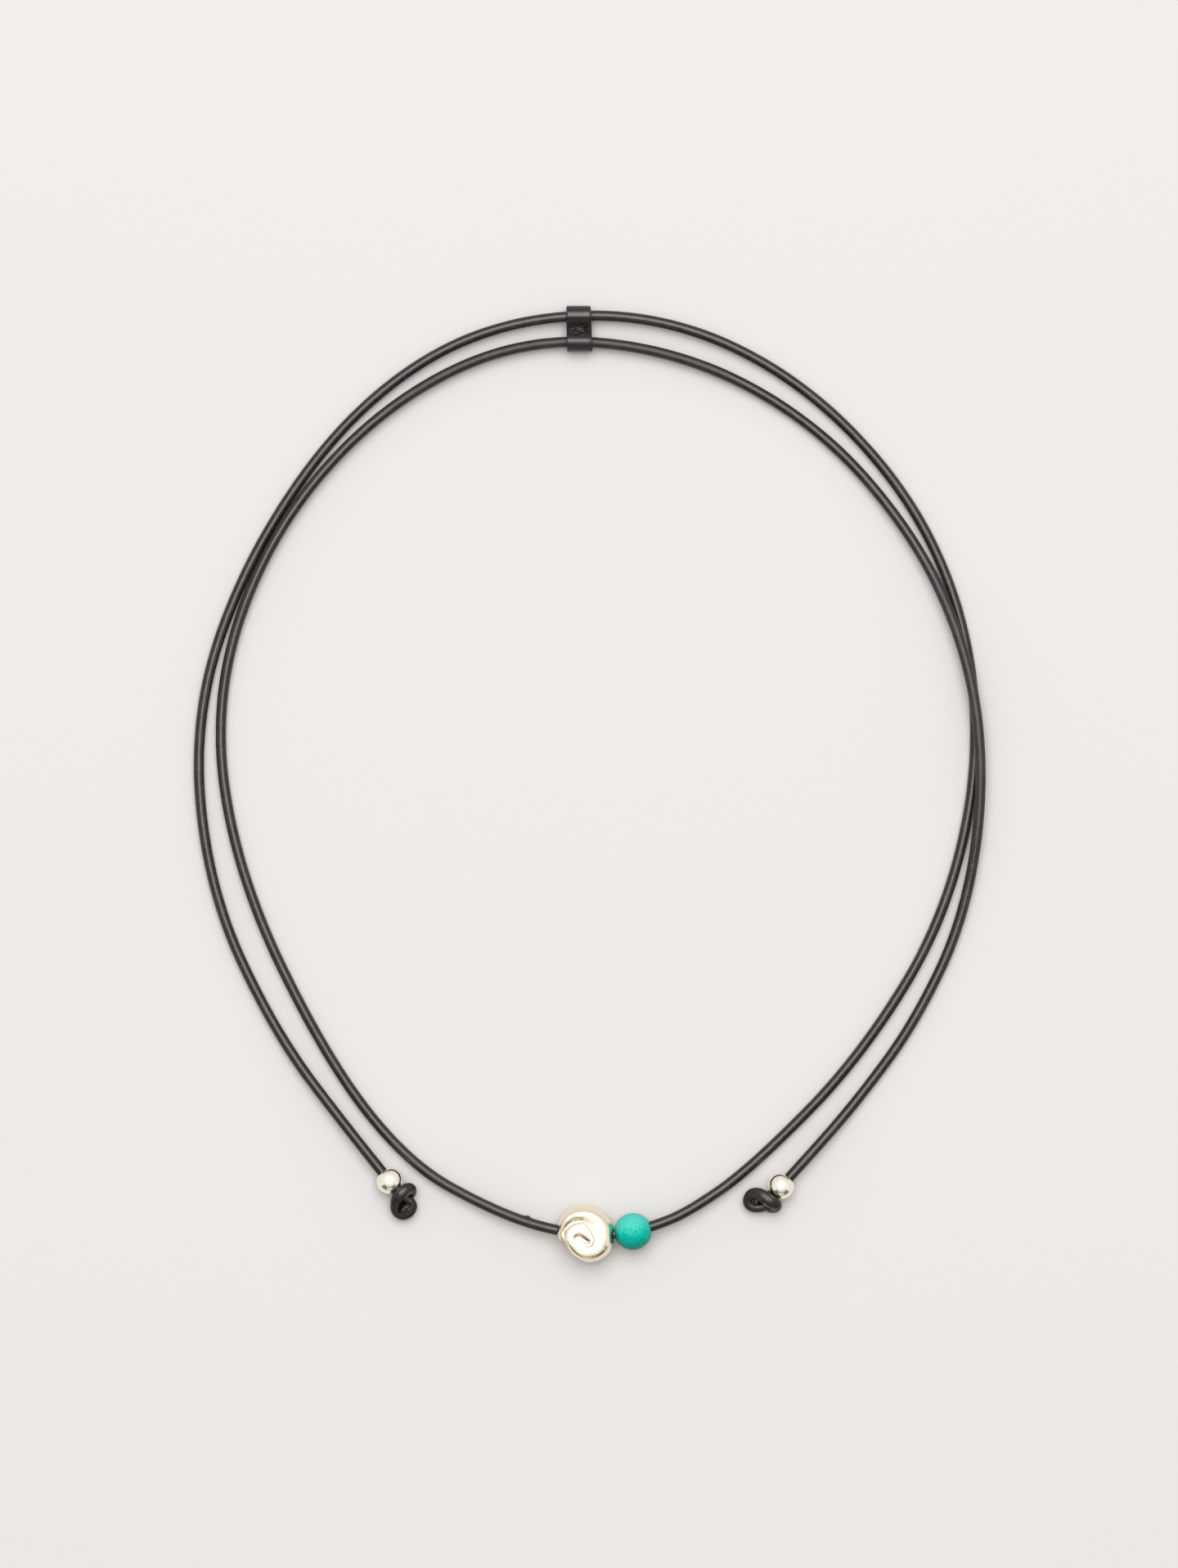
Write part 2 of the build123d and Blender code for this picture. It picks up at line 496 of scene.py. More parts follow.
@dataclass(frozen=True)
class StoneFinish:
    """Satin turquoise, finely mottled, with pale specks, dark pits and brown matrix low on one side, and
    painted light that makes one side paler and the other deeper.
    """

    name: str = "turquoise"
    light: Colour = (0.047, 0.385, 0.318)
    middle: Colour = (0.001, 0.340, 0.272)
    deep: Colour = (0.0005, 0.220, 0.168)
    speck: Colour = (0.30, 0.72, 0.61)
    matrix: Colour = (0.035, 0.045, 0.025)
    # Towards which side painted light makes the stone paler, and towards which it has its matrix
    painted_light_side: Point = (-0.12, 0.97, 0.10)
    matrix_side: Point = (-0.1, -1.0, 0.12)
    # The mottling and the broad clouds: their size, and how much they change the tone
    mottle: float = 0.36 * MM
    mottle_weight: float = 2.2
    cloud: float = 1.5 * MM
    cloud_weight: float = 0.8
    # Over which tones the stone goes from deep to middle, and from middle to light
    middle_range: Row = (-0.58, 0.16)
    light_range: Row = (0.14, 0.42)
    # The pale specks: their spacing, size, over which tones they come in and how strong they get
    speck_spacing: float = 0.6 * MM
    speck_range: Row = (0.08, 0.15)
    speck_tones: Row = (0.25, 0.8)
    speck_share: float = 0.6
    # The dark pits: their spacing, the size of their colour and of their hollow, and their depth
    pit_spacing: float = 0.95 * MM
    pit_range: Row = (0.07, 0.13)
    pit_slope: Row = (0.05, 0.16)
    pit_depth: float = 0.03 * MM
    # The matrix: how far down it starts, its patches' size, where in the noise they lie and their strength
    matrix_range: Row = (0.80, 0.95)
    matrix_patch: float = 0.3 * MM
    patch_range: Row = (0.5, 0.62)
    matrix_share: float = 0.7
    grain_depth: float = 0.006 * MM
    roughness: float = 0.36
    shine: float = 0.09

    def material(self, centre: Vector, radius: float) -> Material:
        """Lays out the stone.

        Args:
            centre: The bead's middle.
            radius: Its largest radius.

        Returns:
            The material.
        """
        material, nodes = NodeBench.start(self.name)
        where = nodes.add("Mapping", {"Vector": nodes.place(), "Location": -centre}).outputs["Vector"]
        fine = nodes.noise(where, self.mottle, 4.0, 0.6)
        broad = nodes.noise(where, self.cloud)
        # The tone starts as painted light: paler towards the lit side and deeper away from it
        tone = nodes.along(where, Vector(self.painted_light_side).normalized() / radius)
        for lump, weight in ((fine, self.mottle_weight), (broad, self.cloud_weight)):
            tone = nodes.plus(tone, nodes.times(nodes.reckon("SUBTRACT", lump, 0.5), weight))
        colour = nodes.blend(nodes.spread(tone, self.middle_range), self.deep, self.middle)
        colour = nodes.blend(nodes.spread(tone, self.light_range), colour, self.light)
        dots = nodes.spread(nodes.cells(where, self.speck_spacing), self.speck_range, 1.0, 0.0)
        specks = nodes.times(dots, nodes.spread(tone, self.speck_tones, 0.0, self.speck_share))
        colour = nodes.blend(specks, colour, self.speck)
        holes = nodes.cells(where, self.pit_spacing)
        colour = nodes.blend(nodes.spread(holes, self.pit_range, 1.0, 0.0), colour, self.deep)
        low = nodes.spread(nodes.along(where, Vector(self.matrix_side) / radius), self.matrix_range)
        patches = nodes.noise(where, self.matrix_patch)
        patches = nodes.spread(patches, self.patch_range, 0.0, self.matrix_share)
        slopes = nodes.spread(holes, self.pit_slope)
        nodes.surface({
            "Base Color": nodes.blend(nodes.times(low, patches), colour, self.matrix),
            "Roughness": self.roughness,
            "Normal": nodes.relief((slopes, self.pit_depth), (fine, self.grain_depth)),
            "Specular IOR Level": self.shine,
        })
        return material


@dataclass
class Line:
    """A smooth line through space: a spline's own points, and the frame that travels along it."""

    places: np.ndarray

    @classmethod
    def through(cls, name: str, control: Sequence[Point], resolution: int) -> "Line":
        """Reads the points of a NURBS spline.

        Args:
            name: The curve's name.
            control: The spline's control points.
            resolution: How many points it gives for each control point.

        Returns:
            The line.
        """
        curve = bpy.data.curves.new(name, "CURVE")
        curve.dimensions = "3D"
        curve.resolution_u = resolution
        spline = curve.splines.new("NURBS")
        spline.points.add(len(control) - 1)
        for point, place in zip(spline.points, control):
            point.co = (*place, 1.0)
        spline.order_u = 3
        spline.use_endpoint_u = True
        holder = bpy.data.objects.new(name, curve)
        mesh = bpy.data.meshes.new_from_object(holder)
        places = np.array([vertex.co[:] for vertex in mesh.vertices])
        bpy.data.objects.remove(holder)
        bpy.data.curves.remove(curve)
        bpy.data.meshes.remove(mesh)
        return cls(places)

    @property
    def travelled(self) -> np.ndarray:
        """The distance along the line at each of its points."""
        return travelled(self.places)

    def evenly(self, step: float) -> "Line":
        """Sets the line's points evenly.

        Args:
            step: The distance from point to point.

        Returns:
            The same line with its new points.
        """
        along = self.travelled
        marks = np.linspace(0.0, along[-1], max(2, round(along[-1] / step) + 1))
        return Line(np.column_stack([np.interp(marks, along, self.places[:, axis]) for axis in range(3)]))

    def headings(self) -> np.ndarray:
        """Returns the line's direction at each point."""
        ahead = np.gradient(self.places, axis=0)
        return ahead / np.linalg.norm(ahead, axis=1, keepdims=True)

    def level_frames(self) -> Pair:
        """Works out the frame at each point of a line that lies about level.

        Returns:
            The side and the upward direction.
        """
        ahead = self.headings()
        side = np.cross((0.0, 0.0, 1.0), ahead)
        side /= np.linalg.norm(side, axis=1, keepdims=True)
        return side, np.cross(ahead, side)

    def carried_frames(self) -> Pair:
        """Works out the frame at each point by carrying it along without twist.

        Returns:
            The side and the upward direction.
        """
        ahead = self.headings()
        side = np.empty_like(ahead)
        start = np.cross((0.0, 0.0, 1.0), ahead[0])
        side[0] = start / np.linalg.norm(start)
        for index in range(1, len(ahead)):
            turned = side[index - 1] - ahead[index] * side[index - 1].dot(ahead[index])
            side[index] = turned / np.linalg.norm(turned)
        return side, np.cross(ahead, side)

    def ringed(self, frames: Pair, angle: np.ndarray, reach: np.ndarray) -> np.ndarray:
        """Sets a ring round each point.

        Args:
            frames: The side and the upward direction at each point.
            angle: The turn of each of the ring's places, in radians.
            reach: The distance from the line, by ring and place.

        Returns:
            The places by ring, place and axis.
        """
        side, up = frames
        return (self.places[:, None, :]
                + side[:, None, :] * (np.cos(angle) * reach)[:, :, None]
                + up[:, None, :] * (np.sin(angle) * reach)[:, :, None])


def travelled(places: np.ndarray) -> np.ndarray:
    """Returns the distance travelled at each of a row of places."""
    return np.concatenate([[0.0], np.linalg.norm(np.diff(places, axis=0), axis=1).cumsum()])


def lumps(places: np.ndarray, size: float, seed: float = 0.0) -> np.ndarray:
    """Reads a smooth noise at each of many places.

    Args:
        places: Places of three coordinates, in an array of any shape.
        size: The distance from lump to lump.
        seed: Shifts the noise.

    Returns:
        Numbers between about -1 and 1, in the same shape.
    """
    shift = Vector((seed, seed, seed))
    numbers = [noise.noise(Vector(place) / size + shift) for place in places.reshape(-1, 3)]
    return np.array(numbers).reshape(places.shape[:-1])


def eased(value: np.ndarray, low: float, high: float) -> np.ndarray:
    """Returns 0 below low, 1 above high and a smooth step between."""
    share = np.clip((value - low) / (high - low), 0.0, 1.0)
    return share * share * (3 - 2 * share)


def within(value: np.ndarray, start: Row, end: Row) -> np.ndarray:
    """Returns 1 between a smooth step up at the start and a smooth step down at the end, and 0 outside."""
    return eased(value, *start) * (1 - eased(value, *end))


def bell(value: np.ndarray, middle: float, width: float) -> np.ndarray:
    """Returns 1 at the middle, falling smoothly towards 0 over a few widths."""
    return np.exp(-(((value - middle) / width) ** 2))


def all_round(count: int) -> np.ndarray:
    """Returns evenly spaced turns, in radians, once round."""
    return np.arange(count) / count * math.tau


def facing(ahead: Row) -> Matrix:
    """Returns the turn that brings the z axis to a level direction."""
    return Vector((*ahead, 0.0)).normalized().to_track_quat("Z", "Y").to_matrix().to_4x4()


def wrapped(angle: np.ndarray, wide: np.ndarray, tall: np.ndarray, along: np.ndarray) -> np.ndarray:
    """Works out a finish's coordinates on a tube, as if its line were straight.

    Args:
        angle: The turn of each of a ring's places, in radians.
        wide: Half the width of each ring.
        tall: Half its height.
        along: The distance along the line at each ring.

    Returns:
        The coordinates by ring, place and axis.
    """
    across = np.cos(angle)[None, :] * wide[:, None]
    up = np.sin(angle)[None, :] * tall[:, None]
    return np.stack([across, up, np.broadcast_to(along[:, None], up.shape)], axis=2)


def tube(name: str, rings: np.ndarray, lay: np.ndarray, **marks: np.ndarray) -> Piece:
    """Skins a row of rings as a closed tube.

    Args:
        name: The piece's name.
        rings: Places by ring, side and axis.
        lay: Coordinates for the finish, by ring, side and axis.
        **marks: Numbers for the finish, by ring and side.

    Returns:
        The tube, with flat ends.
    """
    count, sides = rings.shape[:2]
    faces = []
    for ring in range(count - 1):
        here, there = ring * sides, (ring + 1) * sides
        for side in range(sides):
            other = (side + 1) % sides
            faces.append((here + side, here + other, there + other, there + side))
    first, last = count * sides, count * sides + 1
    for side in range(sides):
        other = (side + 1) % sides
        faces.append((first, other, side))
        faces.append((last, (count - 1) * sides + side, (count - 1) * sides + other))
    mesh = bpy.data.meshes.new(name)
    places = np.vstack([rings.reshape(-1, 3), rings[0].mean(0), rings[-1].mean(0)])
    mesh.from_pydata(places.tolist(), [], faces)
    Bench.mark(mesh, "lay", np.vstack([lay.reshape(-1, 3), lay[0].mean(0), lay[-1].mean(0)]))
    for key, values in marks.items():
        Bench.mark(mesh, key, np.concatenate([values.ravel(), values[0, :1], values[-1, :1]]))
    piece = bpy.data.objects.new(name, mesh)
    bpy.context.collection.objects.link(piece)
    return piece


# Heights of the cord's middle: on the floor, leaning on the other strand, in the slider, in a ball bead,
# on the climb to the larger beads, over the other strand, and in the larger beads
REST = 1.0 * MM
LEAN = 2.0 * MM
SLIDE = 2.15 * MM
BALL = 2.5 * MM
CLIMB = 2.6 * MM
CROSSING = 3.2 * MM
BEAD = 3.5 * MM

# The cord's route, from the left knot twice round to the right knot; the climb to the spiral bead from the
# left lies 0.5 mm nearer the middle than the solid's, as the photograph shows it
ROUTE: tuple[Point, ...] = (
    (-0.0360, -0.0774, BALL),
    (-0.0443, -0.0672, BALL),
    (-0.0592, -0.0477, REST),
    (-0.0720, -0.0201, REST),
    (-0.0749, 0.0132, REST),
    (-0.0641, 0.0441, REST),
    (-0.0439, 0.0724, REST),
    (-0.0180, 0.0884, SLIDE),
    (0.0149, 0.0899, SLIDE),
    (0.0446, 0.0751, REST),
    (0.0677, 0.0471, REST),
    (0.0762, 0.0120, REST),
    (0.0699, -0.0235, REST),
    (0.0528, -0.0520, REST),
    (0.0317, -0.0734, REST),
    (0.0198, -0.0816, CLIMB),
    (0.0125, -0.0845, BEAD),
    (0.0056, -0.0861, BEAD),
    (-0.0055, -0.0854, BEAD),
    (-0.0176, -0.0814, CLIMB),
    (-0.0338, -0.0726, REST),
    (-0.0495, -0.0525, REST),
    (-0.0665, -0.0174, REST),
    (-0.0712, 0.0160, REST),
    (-0.0604, 0.0476, LEAN),
    (-0.0388, 0.0722, LEAN),
    (-0.0115, 0.0854, SLIDE),
    (0.0186, 0.0825, SLIDE),
    (0.0446, 0.0685, REST),
    (0.0638, 0.0460, LEAN),
    (0.0736, 0.0226, CROSSING),
    (0.0760, -0.0010, CROSSING),
    (0.0724, -0.0257, REST),
    (0.0628, -0.0458, REST),
    (0.0520, -0.0604, REST),
    (0.0432, -0.0704, BALL),
    (0.0359, -0.0783, BALL),
)


@dataclass
class Cord:
    """The one round leather cord that runs twice round the neck."""

    route: tuple[Point, ...] = ROUTE
    resolution: int = 60
    diameter: float = 2.0 * MM
    step: float = 0.25 * MM
    sides: int = 24
    # By which share of its radius the cord swells, and the swellings' spacing, weight and seed
    swell: float = 0.021
    swellings: tuple[Point, ...] = ((9.0 * MM, 1.0, 0.0), (3.3 * MM, 0.6, 5.0))
    grain: float = 0.9 * MM
    grain_height: float = 0.012 * MM
    # How coarse the finish's grain is everywhere, and how much of the swellings it follows
    coarse: Row = (0.12, 0.1)
    # Stretches of coarser grain: from and to which step of the route, and how coarse; and their fade
    worn_runs: tuple[Point, ...] = ((18.2, 20.2, 0.6), (25.2, 27.6, 1.0), (29.6, 31.6, 0.9))
    worn_fade: float = 0.25
    # A nick in the leather beside the spiral bead: its raised lip and its pit, with place, width and height
    nick: tuple[tuple[Point, float, float], ...] = (
        ((-10.93 * MM, -82.55 * MM, 3.2 * MM), 0.5 * MM, 0.28 * MM),
        ((-10.95 * MM, -82.50 * MM, 3.65 * MM), 0.3 * MM, -0.45 * MM),
    )
    finish: LeatherFinish = field(default_factory=lambda: LeatherFinish("cord_leather"))
    line: Line = field(init=False)
    piece: Piece = field(init=False)

    def wear(self, along: np.ndarray, slow: np.ndarray) -> np.ndarray:
        """Works out how coarse the finish's grain is.

        Args:
            along: The distance along the cord at each ring.
            slow: The swellings there.

        Returns:
            A number for each ring.
        """
        points = self.line.places
        steps = np.interp(along, self.line.travelled, np.linspace(0, len(self.route) - 1, len(points)))
        worn = self.coarse[0] + self.coarse[1] * slow
        fade = self.worn_fade
        for start, end, amount in self.worn_runs:
            worn += amount * within(steps, (start - fade, start + fade), (end - fade, end + fade))
        return worn

    def build(self) -> None:
        """Makes the cord as a tube along its spline, uneven as cut leather is."""
        self.line = Line.through("cord_line", self.route, self.resolution)
        path = self.line.evenly(self.step)
        along = path.travelled
        angle = all_round(self.sides)
        radius = np.full(len(along), self.diameter / 2)
        lay = wrapped(angle, radius, radius, along)
        straight = np.column_stack([along, along * 0, along * 0])
        slow = sum(weight * lumps(straight, spacing, seed) for spacing, weight, seed in self.swellings)
        fine = lumps(lay, self.grain, 2.0)
        reach = radius[:, None] * (1 + self.swell * slow[:, None]) + self.grain_height * fine
        rings = path.ringed(path.level_frames(), angle, reach)
        outward = (rings - path.places[:, None, :]) / reach[:, :, None]
        for place, width, height in self.nick:
            gap = np.linalg.norm(rings - np.array(place), axis=2, keepdims=True)
            rings = rings + outward * height * bell(gap, 0.0, width)
        rings[:, :, 2] = np.maximum(rings[:, :, 2], 0.0)
        worn = np.repeat(self.wear(along, slow)[:, None], self.sides, axis=1)
        self.piece = tube("leather_cord", rings, lay, worn=worn)
        Bench.settle(self.piece, Matrix.Identity(4))
        Bench.register(self.piece, "cord", Slot.CORD, self.finish.material())

    def declare(self, on_it: list[Piece]) -> None:
        """Logs the cord's length.

        Args:
            on_it: Not used.
        """
        length = float(self.line.travelled[-1])
        LOG.info("cord: %.1f mm long", length / MM)


@dataclass
class EndKnot:
    """An overhand knot in the cord's own end, pulled tight against its ball bead."""

    name: str
    node: str
    # The cord's end, and the point of its route before it
    end: Point
    before: Point
    # The tube's way in the knot's own frame, with x ahead, in millimetres
    path: tuple[Point, ...]
    # Share of the way along, and the tube's width in millimetres
    widths: tuple[Row, ...]
    finish: LeatherFinish
    # Where the knot's hollow gets painted shade, in millimetres: x, y, radius and top; and the near-black
    # finish painted there
    painted_shade_spot: tuple[float, float, float, float]
    painted_shade_finish: LeatherFinish
    # Between which distances across the knot the upper strand's raw edge shows, in millimetres
    raw_span: Row
    # How the cut end is rounded off: share of its radius, and height in millimetres
    cut_end: tuple[Row, ...] = (
        (0.97, 0.04), (0.91, 0.08), (0.82, 0.10), (0.7, 0.08),
        (0.56, 0.10), (0.42, 0.06), (0.28, 0.08), (0.12, 0.05))
    torn: float = 0.17 * MM
    torn_size: float = 0.4 * MM
    # Which way the raw edge faces, from which closeness to that way it shows and over how much it comes in
    raw_way: Point = (0.97, 0.0, 0.24)
    raw_near: Row = (0.93, 0.06)
    raw_fade: float = 0.4 * MM
    raw_above: float = 2.8 * MM
    # The raw edge's mean strength, how much it changes and over which distance
    raw_share: Point = (0.55, 0.6, 0.5 * MM)
    # How coarse the finish's grain is on the strands and on the cut end
    coarse: Row = (0.45, 2.0)
    thickness: float = 1.85 * MM
    grain: float = 0.8 * MM
    grain_height: float = 0.03 * MM
    # How steeply the tube may rise and still be widened across its way
    level_least: float = 0.3
    resolution: int = 40
    step: float = 0.09 * MM
    sides: int = 40

    def place(self) -> Matrix:
        """Works out where the knot's own frame lies.

        Returns:
            The frame at the cord's end, with x ahead along the cord.
        """
        ahead = Vector((self.end[0] - self.before[0], self.end[1] - self.before[1], 0.0)).normalized()
        left = Vector((0.0, 0.0, 1.0)).cross(ahead)
        return Matrix((
            (ahead.x, left.x, 0.0, self.end[0]),
            (ahead.y, left.y, 0.0, self.end[1]),
            (0.0, 0.0, 1.0, 0.0),
            (0.0, 0.0, 0.0, 1.0),
        ))

    def strand(self, path: Line) -> Pair:
        """Lays the tube's rings round its way, pressed wide where the knot is tight.

        Args:
            path: The tube's way.

        Returns:
            The rings' places and the finish's coordinates on them, by ring, side and axis.
        """
        frames = path.carried_frames()
        ahead = path.headings()
        along = path.travelled
        angle = all_round(self.sides)
        shares, widths = zip(*self.widths)
        wide = np.interp(along / along[-1], shares, np.array(widths) * MM) / 2
        tall = np.full_like(wide, self.thickness / 2)
        lay = wrapped(angle, wide, tall, along)
        rings = path.ringed(frames, angle, tall[:, None] + lumps(lay, self.grain, 7.0) * self.grain_height)
        level = np.array((0.0, 0.0, 1.0)) - ahead * ahead[:, 2:3]
        level_size = np.linalg.norm(level, axis=1, keepdims=True)
        aim = np.where(level_size > self.level_least, level / np.maximum(level_size, 1e-6), frames[1])
        across = np.cross(aim, ahead)[:, None, :]
        offset = ((rings - path.places[:, None, :]) * across).sum(2, keepdims=True)
        return rings + across * offset * (wide / tall - 1)[:, None, None], lay

    def raw(self, path: Line, rings: np.ndarray, lay: np.ndarray) -> np.ndarray:
        """Works out where the upper strand's raw edge shows.

        Args:
            path: The tube's way.
            rings: The rings' places, by ring, side and axis.
            lay: The finish's coordinates on them.

        Returns:
            How much of it shows, by ring and side.
        """
        low, high = (value * MM for value in self.raw_span)
        middle = path.places[:, None, :]
        away = (rings - middle) / np.linalg.norm(rings - middle, axis=2, keepdims=True)
        near, come_in = self.raw_near
        edge = np.clip((away @ np.array(self.raw_way) - near) / come_in, 0, 1)
        edge *= within(middle[:, :, 1], (low, low + self.raw_fade), (high - self.raw_fade, high))
        edge *= middle[:, :, 2] > self.raw_above
        mean, change, size = self.raw_share
        return np.clip(edge * (mean + change * lumps(lay, size, 17.0)), 0, 1)

    def close(self, path: Line, rings: np.ndarray, lay: np.ndarray) -> Pair:
        """Rounds off the cut end, torn as it is.

        Args:
            path: The tube's way.
            rings: The rings' places, by ring, side and axis.
            lay: The finish's coordinates on them.

        Returns:
            Both with the cut end's rings added.
        """
        end, out = path.places[-1], path.headings()[-1]
        last = rings[-1] - end
        for shrink, lift in self.cut_end:
            row = end + out * lift * MM + last * shrink
            row = row + out * (lumps(row, self.torn_size, 13.0) * self.torn)[:, None]
            rings = np.concatenate([rings, row[None]])
            lay = np.concatenate([lay, lay[-1:] * (shrink, shrink, 1.0)])
        return rings, lay

    def build(self) -> Piece:
        """Makes the knot as a tube along its spline and dresses it.

        Returns:
            The finished piece.
        """
        control = [tuple(value * MM for value in point) for point in self.path]
        path = Line.through(self.name + "_line", control, self.resolution).evenly(self.step)
        rings, lay = self.strand(path)
        raw = np.pad(self.raw(path, rings, lay), ((0, len(self.cut_end)), (0, 0)))
        rings, lay = self.close(path, rings, lay)
        worn = np.full(raw.shape, self.coarse[0])
        worn[len(path.places):] = self.coarse[1]
        piece = tube(self.name, rings, lay, worn=worn, raw=raw)
        # Faces in the knot's hollow take the near-black finish as painted shade
        x, y, radius, top = (value * MM for value in self.painted_shade_spot)
        inside = [math.hypot(face.center.x - x, face.center.y - y) < radius and face.center.z < top
                  for face in piece.data.polygons]
        Bench.settle(piece, self.place())
        Bench.register(piece, self.node, Slot.CORD, self.finish.material())
        piece.data.materials.append(self.painted_shade_finish.material())
        piece.data.polygons.foreach_set("material_index", np.array(inside, int))
        return piece


@dataclass
class DrilledBead:
    """A round bead with flattened ends, drilled for the cord."""

    name: str
    node: str
    centre: Point
    ahead: Row
    across: float
    half_length: float
    end_radius: float
    bore_radius: float
    rim: float
    segments: int = 96
    rings: int = 64

    @staticmethod
    def circles(height: float, *radii: float) -> Callable[[Vector], bool]:
        """Makes a test for the edges of circles round the z axis.

        Args:
            height: How far above and below the middle the circles lie.
            *radii: Their radii.

        Returns:
            Takes an edge's middle and says whether the edge is part of one.
        """
        def on_one(middle: Vector) -> bool:
            """Says whether an edge's middle is near one of the circles."""
            near = min(abs(middle.xy.length - radius) for radius in radii) < 0.02 * MM
            return near and abs(abs(middle.z) - height) < 1e-6

        return on_one

    def shape(self) -> Piece:
        """Makes the bead by cutting a sphere's ends off and sinking the hole through it.

        Returns:
            The bead's mesh, in its place.
        """
        radius = self.across / 2
        stretch = self.half_length / math.sqrt(1 - (self.end_radius / radius) ** 2) / radius
        shrink = self.bore_radius / self.end_radius
        sunk = self.half_length * 0.4
        Bench.clear()
        bpy.ops.mesh.primitive_uv_sphere_add(segments=self.segments, ring_count=self.rings, radius=radius)
        bead = Bench.named(self.name)
        bpy.ops.object.mode_set(mode="EDIT")
        bpy.ops.transform.resize(value=(1.0, 1.0, stretch), center_override=(0.0, 0.0, 0.0))
        for side in (-1, 1):
            end = (0.0, 0.0, side * self.half_length)
            bpy.ops.mesh.select_all(action="SELECT")
            bpy.ops.mesh.bisect(plane_co=end, plane_no=(0.0, 0.0, side), clear_outer=True)
            bpy.ops.mesh.extrude_edges_indiv()
            bpy.ops.transform.resize(value=(shrink, shrink, 1.0), center_override=end)
            bpy.ops.mesh.extrude_edges_indiv()
            bpy.ops.transform.translate(value=(0.0, 0.0, -side * sunk))
        Bench.edit_edges(bead, self.circles(self.half_length - sunk, self.bore_radius))
        bpy.ops.mesh.bridge_edge_loops()
        Bench.edit_edges(bead, self.circles(self.half_length, self.bore_radius, self.end_radius))
        bpy.ops.mesh.bevel(offset=self.rim, segments=3, affect="EDGES", clamp_overlap=True)
        bpy.ops.object.mode_set(mode="OBJECT")
        Bench.settle(bead, Matrix.Translation(self.centre) @ facing(self.ahead))
        return bead


@dataclass
class BallBead(DrilledBead):
    """A small polished silver ball at one end of the cord."""

    across: float = 5.0 * MM
    half_length: float = 2.135 * MM
    end_radius: float = 1.3 * MM
    bore_radius: float = 1.1 * MM
    rim: float = 0.08 * MM
    wave: float = 1.9 * MM
    wave_height: float = 0.012 * MM

    def build(self, finish: SilverFinish) -> Piece:
        """Shapes the ball, a little uneven from polishing, and dresses it.

        Args:
            finish: The silver.

        Returns:
            The finished piece.
        """
        ball = self.shape()
        places = Bench.places(ball)
        out = places - np.array(self.centre)
        out /= np.linalg.norm(out, axis=1, keepdims=True)
        places += out * (lumps(places, self.wave, 3.0) * self.wave_height)[:, None]
        Bench.move(ball, places)
        Bench.register(ball, self.node, Slot.SILVER, finish.material())
        return ball


@dataclass
class StoneBead(DrilledBead):
    """The round turquoise bead."""

    name: str = "turquoise_stone_bead"
    node: str = "turquoise_bead"
    centre: Point = (9.065 * MM, -85.296 * MM, 3.5 * MM)
    ahead: Row = (-0.974, -0.226)
    across: float = 7.0 * MM
    half_length: float = 3.27 * MM
    end_radius: float = 1.42 * MM
    bore_radius: float = 1.1 * MM
    rim: float = 0.12 * MM
    # Leaves more than the rim's width between the cut and the next ring
    rings: int = 62

    def build(self, finish: StoneFinish) -> Piece:
        """Shapes and dresses the stone.

        Args:
            finish: The turquoise.

        Returns:
            The finished piece.
        """
        stone = self.shape()
        Bench.register(stone, self.node, Slot.STONE, finish.material(Vector(self.centre), self.across / 2))
        return stone


